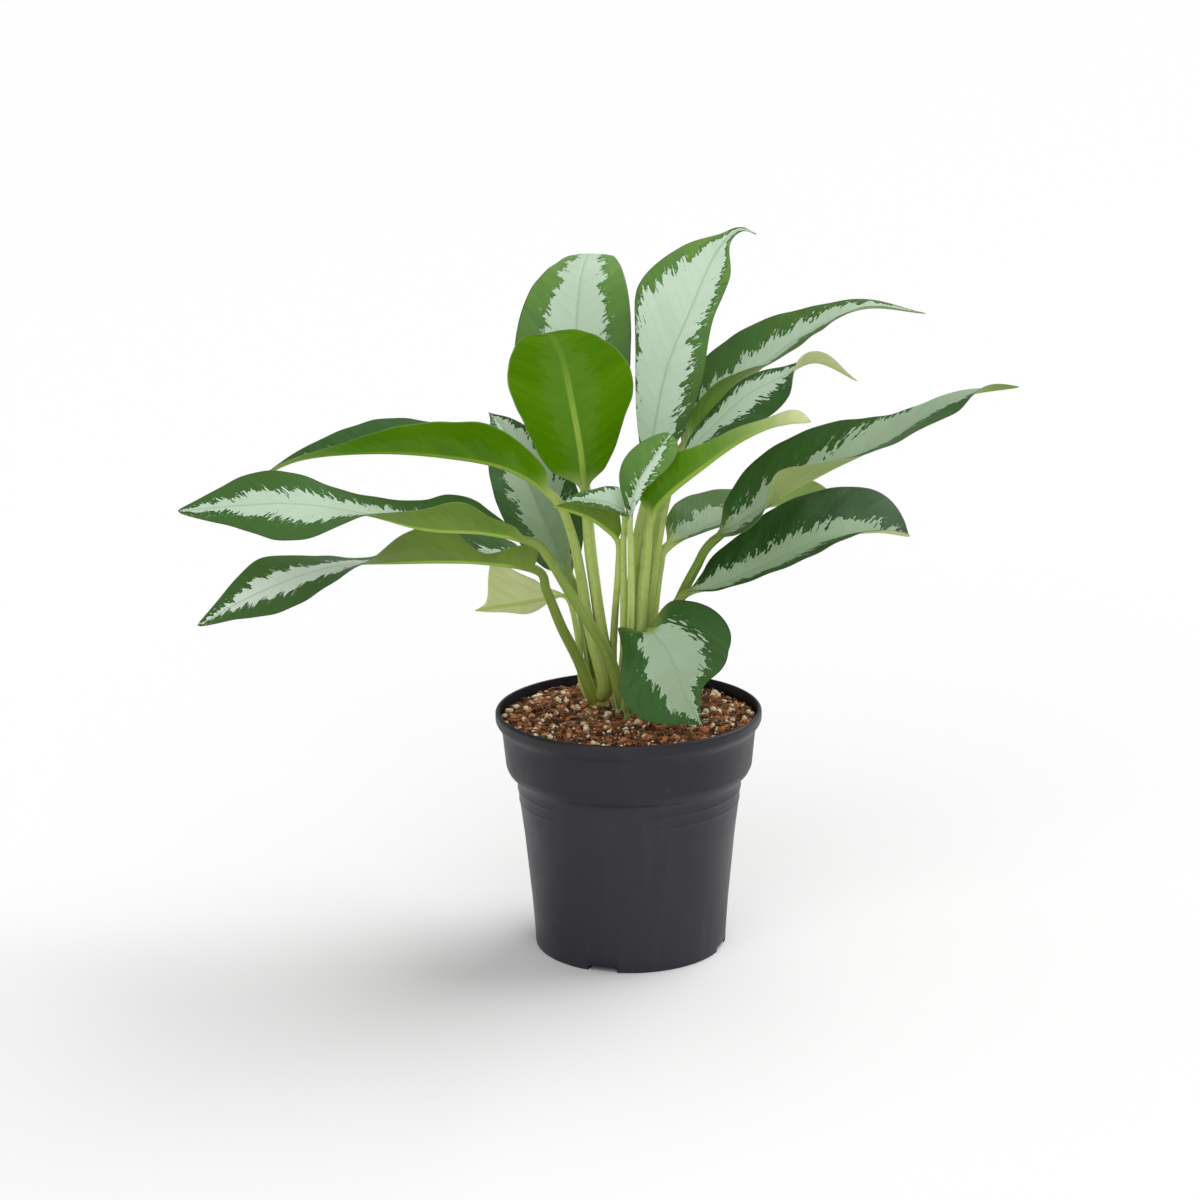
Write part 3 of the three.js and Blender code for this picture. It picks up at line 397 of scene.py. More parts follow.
def smooth(values, low=0.0, high=1.0):
    """0 below low, 1 above high, and a smooth step between them."""
    t = np.clip((np.asarray(values, float) - low) / (high - low), 0, 1)
    return t * t * (3 - 2 * t)


def bell(distance, width):
    """1 at distance 0, falling to nothing within a few widths."""
    return np.exp(-((distance / width) ** 2))


def through(values, t):
    """Catmull-Rom curve through a list of numbers or points: t runs from 0 to its last place."""
    points = np.asarray(values, float)
    t = np.asarray(t, float)
    last = len(points) - 1
    if last == 0:
        return np.zeros(t.shape + points.shape[1:]) + points[0]
    padded = np.concatenate([[2 * points[0] - points[1]], points, [2 * points[-1] - points[-2]]])
    i = np.clip(np.floor(t).astype(int), 0, last - 1)
    u = (t - i).reshape(t.shape + (1,) * (points.ndim - 1))
    a, b, c, d = (padded[i + k] for k in range(4))
    linear = (c - a) * u
    square = (2 * a - 5 * b + 4 * c - d) * u**2
    cube = (3 * b - a - 3 * c + d) * u**3
    return 0.5 * (2 * b + linear + square + cube)


def along(values, s):
    """The value of a list of settings at s, from 0 at the base of the blade to 1 at its tip."""
    return through(values, np.asarray(s, float) * (len(values) - 1))


def circle_angles(count):
    """Angles evenly round a full circle."""
    return np.arange(count) * 2 * math.pi / count


def new_mesh(name, points, faces):
    """A mesh object from points in millimetres."""
    mesh = bpy.data.meshes.new(name)
    mesh.from_pydata([tuple(p) for p in np.asarray(points, float) * MM], [], faces)
    mesh.update()
    mesh.polygons.foreach_set("use_smooth", [True] * len(mesh.polygons))
    made = bpy.data.objects.new(name, mesh)
    bpy.context.scene.collection.objects.link(made)
    return made


def set_attribute(piece, name, values):
    """Stores one number for each point of a piece, for its material to read."""
    layer = piece.data.attributes.new(name, "FLOAT", "POINT")
    layer.data.foreach_set("value", np.asarray(values, np.float32).ravel())


def belongs(piece, material, slot, *nodes):
    """Gives a piece its material, hangs it under the root and hides the imported parts it stands in for.
    The slot is not used.
    """
    piece.data.materials.clear()
    piece.data.materials.append(material)
    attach(piece, "root")
    if nodes:
        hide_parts(*nodes)


def outward(piece):
    """Turns every face of a closed piece outward."""
    mesh = bmesh.new()
    mesh.from_mesh(piece.data)
    bmesh.ops.recalc_face_normals(mesh, faces=mesh.faces)
    mesh.to_mesh(piece.data)
    mesh.free()
    return piece


def ring_faces(count, size):
    """Faces between neighbouring closed rings of points."""
    faces = []
    for i in range(count - 1):
        for j in range(size):
            k = (j + 1) % size
            faces.append((i * size + j, (i + 1) * size + j, (i + 1) * size + k, i * size + k))
    return faces


def tube_faces(count, size):
    """Faces of a stack of closed rings with flat ends."""
    last = (count - 1) * size
    return ring_faces(count, size) + [tuple(range(size - 1, -1, -1)), tuple(range(last, last + size))]


def spindle_faces(count, size):
    """Faces of a stack of closed rings whose ends close on two more points."""
    faces = ring_faces(count, size)
    last, first_end, last_end = (count - 1) * size, count * size, count * size + 1
    for j in range(size):
        k = (j + 1) % size
        faces.append((j, k, first_end))
        faces.append((last + k, last + j, last_end))
    return faces


class Pile:
    """Many small closed shapes joined in one piece, each with a shade of its own."""

    def __init__(self):
        self.points, self.faces, self.shades = [], [], []

    def add(self, points, faces, shade=0.0):
        offset = len(self.points)
        self.points += list(points)
        self.faces += [tuple(offset + v for v in face) for face in faces]
        self.shades += [shade] * len(points)

    def piece(self, name):
        made = new_mesh(name, self.points, self.faces)
        set_attribute(made, "shade", self.shades)
        return made


# ---------------------------------------------------------------- leaf shape

HALF_PLACES = np.array(ACROSS)
PLACES = np.concatenate([-HALF_PLACES[:0:-1], HALF_PLACES])  # from -1 at the left margin to 1
IS_LEFT = PLACES < 0
Q = np.abs(PLACES)  # 0 at the midrib, 1 at the margin
PHASE = np.where(IS_LEFT, 0, 0.37)  # sets the waves of the two halves apart
# A ring has the points of the upper side and then those of the underside.
RING_SIZE = 2 * len(PLACES)
RING_ANGLE = 180 - (np.arange(RING_SIZE) + 0.5) * 360 / RING_SIZE
FROM_TOP = np.abs(RING_ANGLE - 90)  # degrees round a stalk from the middle of its upper side


def rooted(leaf):
    """The stalk's points with one more inside the cane, where the stalk springs from."""
    if "cane" not in leaf:
        return leaf["stalk"]
    cane = CANES[leaf["cane"]]
    foot = leaf["stalk"][0]
    x = cane["x"] + ROOT_SHARE * (foot[0] - cane["x"])
    y = cane["y"] + ROOT_SHARE * (foot[1] - cane["y"])
    return [[x, y, foot[2] - ROOT_DROP], *leaf["stalk"]]


class CentreLine:
    """The centre line of a leaf, with its direction and upper side at every step."""

    def __init__(self, leaf):
        stalk = rooted(leaf)
        blade = leaf["blade"]
        points = np.array([*stalk, *blade], float)
        self.count = (len(points) - 1) * LINE_STEPS
        self.steps = np.arange(self.count + 1)
        self.line = through(points, self.steps / LINE_STEPS)
        ahead = self.line[np.minimum(self.steps + 1, self.count)]
        behind = self.line[np.maximum(self.steps - 1, 0)]
        self.tangent = unit(ahead - behind)
        self.base = (len(stalk) - 1) * LINE_STEPS
        self.up = self.carried(leaf["face"], self.base + (len(blade) + 1) // 2 * LINE_STEPS)
        lengths = np.linalg.norm(np.diff(self.line, axis=0), axis=1)
        self.length = np.concatenate([[0], np.cumsum(lengths)])
        self.blade_start = self.length[self.base]
        self.blade_length = self.length[-1] - self.blade_start

    def carried(self, face, middle):
        """The upper side at every step, carried along the line from the middle of the blade."""
        up = np.zeros_like(self.line)

        def level(vector, i):
            vector = vector - vector.dot(self.tangent[i]) * self.tangent[i]
            return vector / np.linalg.norm(vector)

        up[middle] = level(np.array(face, float), middle)
        for step in (1, -1):
            i = middle + step
            while 0 <= i <= self.count:
                turn = Vector(self.tangent[i - step]).rotation_difference(Vector(self.tangent[i]))
                up[i] = level(np.array(turn @ Vector(up[i - step])), i)
                i += step
        return up

    def at(self, distance):
        """Places, directions, upper sides and steps at distances along the line."""
        step = np.interp(distance, self.length, self.steps)

        def mix(values):
            return np.stack([np.interp(step, self.steps, v) for v in values.T], -1)

        direction = unit(mix(self.tangent))
        up = mix(self.up)
        up = unit(up - (up * direction).sum(-1, keepdims=True) * direction)
        return mix(self.line), direction, up, step


def stalk_circles(place, direction, up, radius):
    """Rings of points round the centre line, in the order of a ring of the blade."""
    side = np.cross(direction, up)
    angle = np.radians(RING_ANGLE)[None, :, None]
    round_line = side[:, None] * np.cos(angle) + up[:, None] * np.sin(angle)
    return place[:, None] + round_line * radius[..., None]


class Stalk:
    """The rings of a leaf's stalk, from its foot to the base of the blade."""

    def __init__(self, radii, centre, count):
        self.u = np.arange(count + 1) / count
        place, direction, up, _ = centre.at(self.u * centre.blade_start)
        self.sheath = (1 - smooth(self.u, *STALK["sheath"]))[:, None]
        depth = STALK["channel"] + STALK["sheath_channel"] * self.sheath
        channel = depth * bell(FROM_TOP, STALK["channel_angle"])
        lips = STALK["lip"] * self.sheath * bell(FROM_TOP - STALK["lip_at"], STALK["lip_angle"])
        before_blade = (1 - smooth(self.u, 0.93, 1))[:, None]
        radius = along(radii, self.u)[:, None] * (1 - channel * before_blade + lips)
        self.rings = stalk_circles(place, direction, up, radius)


class Blade:
    """The rows of a leaf's blade, from its base to its tip, and their measures."""

    def __init__(self, leaf, centre, count):
        self.s = np.minimum((np.arange(1, count + 1) / count) ** BLADE["crowding"], BLADE["last_row"])
        distance = centre.blade_start + self.s * centre.blade_length
        self.place, self.direction, self.up, step = centre.at(distance)
        self.setting = np.clip((step - centre.base) / (centre.count - centre.base), 0, 1)
        self.width = np.maximum(self.outline(leaf), BLADE["narrowest"])
        self.distance = Q * self.width  # from the midrib
        self.length = (self.s * centre.blade_length)[:, None]
        self.tip = self.place[-1] + self.direction[-1] * (1 - BLADE["last_row"]) * centre.blade_length
        lean = VEINS["lean"] * self.distance
        curve = VEINS["curve"] * self.distance**2
        stagger = np.where(IS_LEFT, 0, VEINS["stagger"] * VEINS["spacing"])
        self.vein = self.length - lean - curve + stagger
        self.upright = self.rolled(leaf["roll"])
        self.sheet = self.folded(leaf)

    def sided(self, left, right):
        """A setting at every point of the blade, from its lists for the left and the right half."""
        return np.where(IS_LEFT, along(left, self.setting)[:, None], along(right, self.setting)[:, None])

    def outline(self, leaf):
        """The width of each half at every row."""
        power = math.log(0.5) / math.log(leaf["peak"])
        body = np.sin(math.pi * np.clip(self.s, 0, 1) ** power) ** leaf["full"]
        half = leaf["half"] * body * (1 - leaf["drip"] * self.s ** leaf["drip_power"])
        return half[:, None] * self.sided(leaf["wide_left"], leaf["wide_right"])

    def rolled(self, angles):
        """The way the upper side faces at every row, turned about the centre line."""
        roll = np.radians(along(angles, self.setting))[:, None]
        return self.up * np.cos(roll) + np.cross(self.direction, self.up) * np.sin(roll)

    def folded(self, leaf):
        """The blade without thickness: both halves folded up, waved, and swept back at the base."""
        side = np.cross(self.direction, self.upright)
        bend = math.radians(leaf["bend"])
        fold = np.radians(self.sided(leaf["left"], leaf["right"]))
        out = (np.sin(fold + bend * Q) - np.sin(fold)) / bend * self.width
        rise = (np.cos(fold) - np.cos(fold + bend * Q)) / bend * self.width
        s = self.s[:, None]
        turn = 2 * math.pi * (BLADE["waves"] * s + PHASE)
        wave = leaf["wave"] * np.sin(turn) * Q**2 * np.sin(math.pi * s)
        base = np.clip(1 - s / BLADE["lobe_reach"], 0, 1)
        sweep = np.where(IS_LEFT, *leaf["back"]) * Q**1.5 * base**1.5
        return (
            self.place[:, None]
            + side[:, None] * (np.sign(PLACES) * out)[..., None]
            + self.upright[:, None] * (rise + wave)[..., None]
            - self.direction[:, None] * sweep[..., None]
        )

    def rings(self, seed, stalk_radius):
        """Both sides of the blade. It swells between its side veins and ripples at its margin."""
        sheet, width, distance = self.sheet, self.width, self.distance
        normal = unit(np.cross(np.gradient(sheet, axis=1), np.gradient(sheet, axis=0)))
        facing = np.sign((normal * self.upright[:, None]).sum(-1, keepdims=True))
        normal = normal * np.where(facing == 0, 1, facing)
        swell = 0.5 - 0.5 * np.cos(2 * math.pi * self.vein / VEINS["spacing"])
        inner = smooth(distance, 1, 6) * (1 - smooth(Q, 0.75, 1))
        quilt = BLADE["quilt"] * swell * inner * smooth(width, 3, 14)
        turn = 2 * math.pi * (self.length / BLADE["ripple_length"] + 0.3 * PHASE + seed)
        relief = quilt + BLADE["ripple"] * np.sin(turn) * Q**4 * smooth(width, 5, 20)
        groove = BLADE["groove"] * bell(distance, BLADE["groove_width"]) * smooth(width, 2, 6)
        to_tip = 1 - self.s[:, None]
        rib = BLADE["midrib"] * to_tip**1.2 * bell(distance, 0.6 + BLADE["midrib_width"] * to_tip**0.7)
        thickness = BLADE["thickness"] * (1 - BLADE["thinning"] * Q**6)
        upper = sheet + normal * (relief - groove)[..., None]
        lower = sheet + normal * (relief - thickness - rib)[..., None]
        rings = np.concatenate([upper, lower[:, ::-1]], axis=1)
        radius = np.full((len(self.s), 1), float(stalk_radius))
        stalk = stalk_circles(self.place, self.direction, self.up, radius)
        grown = smooth(self.s / BLADE["grows_from_stalk"])[:, None, None]
        return stalk * (1 - grown) + rings * grown


def leaf_values(leaf, centre, stalk, blade):
    """What the leaf's material reads at every point, for the stalk's rings and the blade's."""
    rows = len(blade.s)

    def on_stalk(values):
        return np.broadcast_to(values, (len(stalk.u), RING_SIZE))

    def on_blade(values):
        """The same values above and below."""
        values = np.broadcast_to(values, (rows, len(PLACES)))
        return np.concatenate([values, values[:, ::-1]], axis=1)

    below = np.repeat([0.0, 1.0], len(PLACES))
    silver = (blade.sided(*leaf["silver"]) - Q) * blade.width
    feather = np.minimum(FEATHER["share"] * blade.width + FEATHER["least"], FEATHER["most"])
    lip = stalk.sheath * bell(FROM_TOP - STALK["lip_at"], STALK["pale_lip_angle"])
    told = {
        "silver": (on_stalk(NO_SILVER), on_blade(silver)),
        "feather": (on_stalk(FEATHER["least"]), on_blade(feather)),
        "vein": (on_stalk(((stalk.u - 1) * centre.blade_start)[:, None]), on_blade(blade.vein)),
        "across": (on_stalk(FROM_TOP * STALK["mm_per_degree"]), on_blade(blade.distance)),
        "edge": (on_stalk(0.0), on_blade(Q)),
        "under": (on_stalk(below), np.broadcast_to(below, (rows, RING_SIZE))),
        "stalk": (on_stalk(1.0), on_blade(1 - smooth(blade.s, 0.01, 0.1)[:, None])),
        "lift": (on_stalk(stalk.u[:, None]), on_blade(1.0)),
        "lip": (on_stalk(lip), on_blade(0.0)),
    }
    for name in ("fresh", "bright", "vivid", "pale", "tone"):
        values = along(leaf[name], blade.setting)[:, None]
        told[name] = (on_stalk(values[0]), on_blade(values))
    return {name: np.concatenate(parts) for name, parts in told.items()}


def make_leaf(name, settings, seed, blade_rows=BLADE["rows"], stalk_rows=STALK["rows"]):
    """One leaf with its stalk, as a single closed piece."""
    leaf = {**LEAF_COMMON, **settings}
    radii = SMALL_STALK if leaf["small"] else LARGE_STALK
    centre = CentreLine(leaf)
    stalk = Stalk(radii, centre, stalk_rows)
    blade = Blade(leaf, centre, blade_rows)
    rings = np.concatenate([stalk.rings, blade.rings(seed, radii[-1])])
    foot = rings[0].mean(axis=0)
    points = np.concatenate([rings.reshape(-1, 3), [foot, blade.tip]])
    piece = new_mesh(name, points, spindle_faces(len(rings), RING_SIZE))
    for key, values in leaf_values(leaf, centre, stalk, blade).items():
        ends = [values[0].mean(), values[-1].mean()]
        set_attribute(piece, key, np.concatenate([values.reshape(-1), ends]))
    set_attribute(piece, "seed", np.full(len(points), seed))
    return outward(piece)


# ---------------------------------------------------------------- pot, soil and canes


def rounded(profile, radius):
    """The [height, radius] profile with its corners rounded."""
    points = np.array(profile, float)
    done = [points[0]]
    for before, corner, after in zip(points, points[1:], points[2:]):
        back, forth = before - corner, after - corner
        reach = min(radius, 0.4 * np.linalg.norm(back), 0.4 * np.linalg.norm(forth))
        start = corner + back / np.linalg.norm(back) * reach
        end = corner + forth / np.linalg.norm(forth) * reach
        for t in (0, 0.25, 0.5, 0.75, 1):
            done.append((1 - t) ** 2 * start + 2 * t * (1 - t) * corner + t**2 * end)
    done.append(points[-1])
    return np.array(done)


def wall_inside(grow):
    """The wall's inside follows the outside without its fine rings."""
    return [[z, r - POT_WALL - grow] for z, r in POT_OUTSIDE if z not in OUTSIDE_ONLY]


def radius_at(profile, z):
    heights, radii = np.array(profile, float).T
    return float(np.interp(z, heights, radii))


def turned(profile, angles):
    """A closed solid of revolution from a [height, radius] profile whose ends are on the axis."""
    heights, radii = profile[1:-1].T
    level = np.repeat(heights[:, None], len(angles), 1)
    rings = np.stack([np.outer(radii, np.cos(angles)), np.outer(radii, np.sin(angles)), level], -1)
    ends = [[0, 0, profile[0][0]], [0, 0, profile[-1][0]]]
    points = np.concatenate([rings.reshape(-1, 3), ends])
    return points, spindle_faces(len(radii), len(angles))


def spread(feature):
    """The angles of a feature that repeats round the pot."""
    step = 360 / feature["count"]
    return [math.radians(feature["first_angle"] + step * i) for i in range(feature["count"])]


def pot_outline():
    """The section of the pot, from the axis underneath round the wall to the axis on its floor."""
    below, top, pad, foot, slope = POT_FLOOR.values()
    inside = wall_inside(0)
    return [
        [0, 0], [0, pad], [below, pad + slope], [below, foot], [0, foot + slope],
        *POT_OUTSIDE,
        *[point for point in reversed(inside) if point[0] > top + 1],
        [top, radius_at(inside, top)], [top, 0],
    ]


def drain_drill():
    """Upright cylinders that cut the drain holes."""
    drill = Pile()
    around = circle_angles(DRAIN["sides"])
    for angle in spread(DRAIN):
        x, y = DRAIN["circle"] * math.cos(angle), DRAIN["circle"] * math.sin(angle)
        circle = [[x + DRAIN["radius"] * math.cos(a), y + DRAIN["radius"] * math.sin(a)] for a in around]
        points = [[*point, z] for z in DRAIN["drilled"] for point in circle]
        drill.add(points, tube_faces(2, DRAIN["sides"]))
    return outward(new_mesh("drill", drill.points, drill.faces))


def make_pot():
    """The pot with its rolled lip, collar, thin rings, foot notches and drain holes."""
    reach = math.asin(NOTCH["width"] / 2 / NOTCH["radius"])
    angles = list(circle_angles(POT_SECTORS))
    for start in spread(NOTCH):
        for edge in (-reach, reach):
            angles += [start + edge * 0.985, start + edge * 1.015]
    angles = np.sort(np.mod(angles, 2 * math.pi))
    points, faces = turned(rounded(pot_outline(), POT_ROUNDING), angles)
    turn = np.arctan2(points[:, 1], points[:, 0])
    distance = np.hypot(points[:, 0], points[:, 1])
    in_foot = (distance > POT_FLOOR["foot_radius"] - 1) & (points[:, 2] < NOTCH["height"])
    for start in spread(NOTCH):
        gap = np.abs(np.mod(turn - start + math.pi, 2 * math.pi) - math.pi)
        points[in_foot & (gap < reach), 2] = NOTCH["height"]
    pot = outward(new_mesh("pot_fine", points, faces))
    drill = drain_drill()
    cut = pot.modifiers.new("drain_holes", "BOOLEAN")
    cut.operation = "DIFFERENCE"
    cut.object = drill
    cut.solver = "EXACT"
    apply_modifiers(pot)
    bpy.data.objects.remove(drill)
    return pot


def apply_modifiers(piece):
    """Makes what a piece's modifiers show its own mesh."""
    view = bpy.context.evaluated_depsgraph_get()
    final = bpy.data.meshes.new_from_object(piece.evaluated_get(view))
    piece.modifiers.clear()
    piece.data = final


def soil_height(x, y, edge):
    """Height of the crumbly soil: a slight mound that falls away at the pot's wall."""
    distance = math.hypot(x, y)
    mound = SOIL["mound"] * (1 - (distance / edge) ** 2)
    rough = sum(
        height * noise.noise(Vector((x / size, y / size, seed))) for height, size, seed in SOIL_LUMPS
    )
    drop = SOIL["edge_drop"] * float(smooth(distance, edge - SOIL["edge_width"], edge))
    return SOIL["height"] - SOIL["sunk"] + mound + rough - drop


def soil_edge():
    return radius_at(wall_inside(SOIL["edge_gap"]), SOIL["height"] - 3)


def soil_top(edge):
    """Points and faces of the soil's top, and the points of its rim in order."""
    n = SOIL["cells"]
    points = []
    for i in range(n + 1):
        for j in range(n + 1):
            a, b = 2 * i / n - 1, 2 * j / n - 1
            x = edge * a * math.sqrt(1 - b * b / 2)
            y = edge * b * math.sqrt(1 - a * a / 2)
            points.append([x, y, soil_height(x, y, edge)])
    corners = [i * (n + 1) + j for i in range(n) for j in range(n)]
    faces = [(v, v + n + 1, v + n + 2, v + 1) for v in corners]
    last = n * (n + 1)
    rim = [i * (n + 1) for i in range(n)] + [last + j for j in range(n)]
    rim += [i * (n + 1) + n for i in range(n, 0, -1)] + list(range(n, 0, -1))
    return points, faces, rim


def make_soil():
    """The soil as a closed body: a crumbly top, and a side that follows the pot's inside."""
    edge = soil_edge()
    points, faces, rim = soil_top(edge)
    side = wall_inside(SOIL["edge_gap"])
    between = [z for z, _ in reversed(side) if SOIL["depth"] + 2 < z < SOIL["height"] - 8]
    above = rim
    for z in [SOIL["height"] - 5, *between, SOIL["depth"]]:
        shrink = radius_at(side, z) / edge
        below = list(range(len(points), len(points) + len(rim)))
        points += [[points[v][0] * shrink, points[v][1] * shrink, z] for v in rim]
        for k in range(len(rim)):
            m = (k + 1) % len(rim)
            faces.append((above[k], above[m], below[m], below[k]))
        above = below
    centre = len(points)
    points.append([0, 0, SOIL["depth"]])
    faces += [(above[k], above[(k + 1) % len(rim)], centre) for k in range(len(rim))]
    return outward(new_mesh("soil_fine", points, faces))


def icosphere(subdivisions):
    """Points and faces of a ball of radius 1."""
    mesh = bmesh.new()
    bmesh.ops.create_icosphere(mesh, subdivisions=subdivisions, radius=1)
    points = np.array([v.co[:] for v in mesh.verts])
    faces = [tuple(v.index for v in f.verts) for f in mesh.faces]
    mesh.free()
    return points, faces


def clear_of_canes(x, y, room):
    return all(math.hypot(x - c["x"], y - c["y"]) > c["radius"] + room for c in CANES.values())


def random_place(rand, reach):
    """A place anywhere on the soil with the same chance, and its distance from the middle."""
    distance = reach * math.sqrt(rand.random())
    angle = 2 * math.pi * rand.random()
    return distance * math.cos(angle), distance * math.sin(angle), distance


def scatter(name, grains):
    """Irregular grains lying on the soil, joined in one piece."""
    rand = random.Random(grains["seed"])
    edge = soil_edge()
    ball, ball_faces = icosphere(grains["subdivisions"])
    pile = Pile()
    while len(pile.points) < grains["count"] * len(ball):
        x, y, distance = random_place(rand, edge - GRAIN["wall_room"])
        share = rand.random() ** GRAIN["favour_small"]
        size = grains["smallest"] + (grains["largest"] - grains["smallest"]) * share
        if not clear_of_canes(x, y, size * GRAIN["cane_room"]) or distance > edge - size:
            continue
        stretch = np.array([1, rand.uniform(*GRAIN["width"]), rand.uniform(*grains["flatness"])]) * size
        shift = Vector([rand.random() * GRAIN["bump_range"] for _ in range(3)])
        bumps = [noise.noise(Vector(p) * GRAIN["bump_scale"] + shift) for p in ball]
        swell = 1 + grains["roughness"] * np.array(bumps)
        turn = Matrix.Rotation(rand.uniform(0, 2 * math.pi), 3, "Z")
        turn = turn @ Matrix.Rotation(rand.uniform(-GRAIN["tilt"], GRAIN["tilt"]), 3, "X")
        grain = (ball * swell[:, None] * stretch) @ np.array(turn).T
        height = soil_height(x, y, edge) + grains["raised"] * stretch[2]
        pile.add(grain + [x, y, height], ball_faces, rand.random())
    return pile.piece(name)


def draw_fibre(rand, x, y, edge):
    """The centre line and the radius of one curled fibre that starts at x, y."""
    span = rand.uniform(*FIBRES["length"])
    radius = rand.uniform(*FIBRES["radius"])
    heading = rand.uniform(0, 2 * math.pi)
    curl = rand.uniform(-FIBRES["curl"], FIBRES["curl"]) / span * 2
    arch = rand.uniform(*FIBRES["arch"])
    steps = FIBRES["steps"]
    path = []
    for i in range(steps + 1):
        rise = FIBRES["lift"] + arch * math.sin(math.pi * i / steps)
        path.append([x, y, soil_height(x, y, edge) + rise])
        heading += curl * span / steps + rand.uniform(-FIBRES["wander"], FIBRES["wander"])
        x += math.cos(heading) * span / steps
        y += math.sin(heading) * span / steps
    return np.array(path), radius


def fibre_tube(path, radius):
    """Rings of points round a fibre's centre line, thinner towards both ends."""
    way = unit(np.gradient(path, axis=0))
    side = unit(np.cross(way, [0, 0, 1.0]))
    above = np.cross(side, way)
    around = circle_angles(FIBRES["sides"])[None, :, None]
    taper = radius * (1 - FIBRES["thinning"] * np.abs(np.linspace(-1, 1, len(path))) ** 3)
    ring = side[:, None] * np.cos(around) + above[:, None] * np.sin(around)
    return (path[:, None] + taper[:, None, None] * ring).reshape(-1, 3)


def make_fibres():
    """Thin curled coir fibres lying on the soil, joined in one piece."""
    rand = random.Random(FIBRES["seed"])
    edge = soil_edge()
    faces = tube_faces(FIBRES["steps"] + 1, FIBRES["sides"])
    pile = Pile()
    made = 0
    while made < FIBRES["count"]:
        x, y, _ = random_place(rand, edge - FIBRES["start_wall_room"])
        if not clear_of_canes(x, y, FIBRES["start_cane_room"]):
            continue
        path, radius = draw_fibre(rand, x, y, edge)
        if np.hypot(path[:, 0], path[:, 1]).max() > edge - FIBRES["wall_room"]:
            continue
        if not all(clear_of_canes(px, py, FIBRES["cane_room"]) for px, py, _ in path):
            continue
        pile.add(fibre_tube(path, radius), faces, rand.random())
        made += 1
    return outward(pile.piece("soil_fibres"))


def make_cane(name, cane):
    """A short cane with the rings that old leaves left on it."""
    x, y, radius, top_radius, top, foot = cane.values()
    heights = [CANE_TAPER_FROM, (CANE_TAPER_FROM + top) / 2, top - 2]
    radii = [radius, (radius + top_radius) / 2, top_radius]
    outline = [[foot, 0], [foot, radius - 1], [foot + 6, radius]]
    for z in np.arange(foot + 8, top - 3, 0.5):
        from_scar = (z - foot) % SCAR["spacing"] - SCAR["first"]
        scar = SCAR["height"] * bell(from_scar, SCAR["width"])
        outline.append([z, np.interp(z, heights, radii) + scar - 0.1])
    outline += [[top - 2, top_radius], [top, top_radius - 1.6], [top, 0]]
    points, faces = turned(np.array(outline), circle_angles(CANE_SIDES))
    return outward(new_mesh(name + "_fine", points + [x, y, 0], faces))

# ---------------------------------------------------------------- materials


class Shader:
    """A material and short ways to add nodes to it. A colour is given as display red, green, blue."""

    def __init__(self, name):
        self.material = bpy.data.materials.new(name)
        self.material.use_nodes = True
        self.nodes = self.material.node_tree.nodes
        self.links = self.material.node_tree.links
        self.principled = self.nodes["Principled BSDF"]

    def feed(self, socket, value):
        if isinstance(value, bpy.types.NodeSocket):
            self.links.new(value, socket)
        else:
            socket.default_value = colour(*value) if isinstance(value, tuple) else value

    def node(self, kind, *values):
        """A node with its first inputs fed."""
        made = self.nodes.new("ShaderNode" + kind)
        for socket, value in zip(made.inputs, values):
            self.feed(socket, value)
        return made

    def finish(self, base, roughness, specular):
        self.feed(self.principled.inputs["Base Color"], base)
        self.feed(self.principled.inputs["Roughness"], roughness)
        self.feed(self.principled.inputs["Specular IOR Level"], specular)
        return self.material

    def math(self, operation, *values):
        made = self.node("Math", *values)
        made.operation = operation
        return made.outputs[0]

    def plus(self, first, second):
        return self.math("ADD", first, second)

    def minus(self, first, second):
        return self.math("SUBTRACT", first, second)

    def times(self, first, second):
        return self.math("MULTIPLY", first, second)

    def read(self, name):
        made = self.node("Attribute")
        made.attribute_name = name
        return made.outputs["Fac"]

    def place(self):
        return self.node("TexCoord").outputs["Object"]

    def stretched(self, place, height_scale):
        """A place with its height scaled, for marks that run up a piece or round it."""
        made = self.node("Mapping", place)
        made.inputs["Scale"].default_value = (1.0, 1.0, height_scale)
        return made.outputs[0]

    def noise(self, place, scale, detail=2.0, roughness=0.5):
        made = self.nodes.new("ShaderNodeTexNoise")
        values = dict(Vector=place, Scale=scale, Detail=detail, Roughness=roughness)
        for name, value in values.items():
            self.feed(made.inputs[name], value)
        return made.outputs["Fac"]

    def span(self, value, low, high, to_low=0.0, to_high=1.0):
        """A smooth step from one number to another, while a value goes from low to high."""
        made = self.node("MapRange", value, low, high, to_low, to_high)
        made.interpolation_type = "SMOOTHSTEP"
        return made.outputs[0]

    def mix(self, share, first, second):
        """The first colour where the share is 0, the second one where it is 1."""
        made = self.nodes.new("ShaderNodeMix")
        made.data_type = "RGBA"
        for index, value in zip((0, 6, 7), (share, first, second)):
            self.feed(made.inputs[index], value)
        return made.outputs[2]

    def tint(self, base, tone, mask, low, high, most):
        """A base with another tone over it: none where the mask is low, the most where it is high."""
        return self.mix(self.span(mask, low, high, 0.0, most), base, tone)

    def bump(self, height, distance, strength):
        """Relief from a height between 0 and 1, with distance its depth in millimetres."""
        made = self.nodes.new("ShaderNodeBump")
        values = dict(Strength=strength, Distance=distance * MM, Height=height)
        for name, value in values.items():
            self.feed(made.inputs[name], value)
        self.feed(self.principled.inputs["Normal"], made.outputs["Normal"])


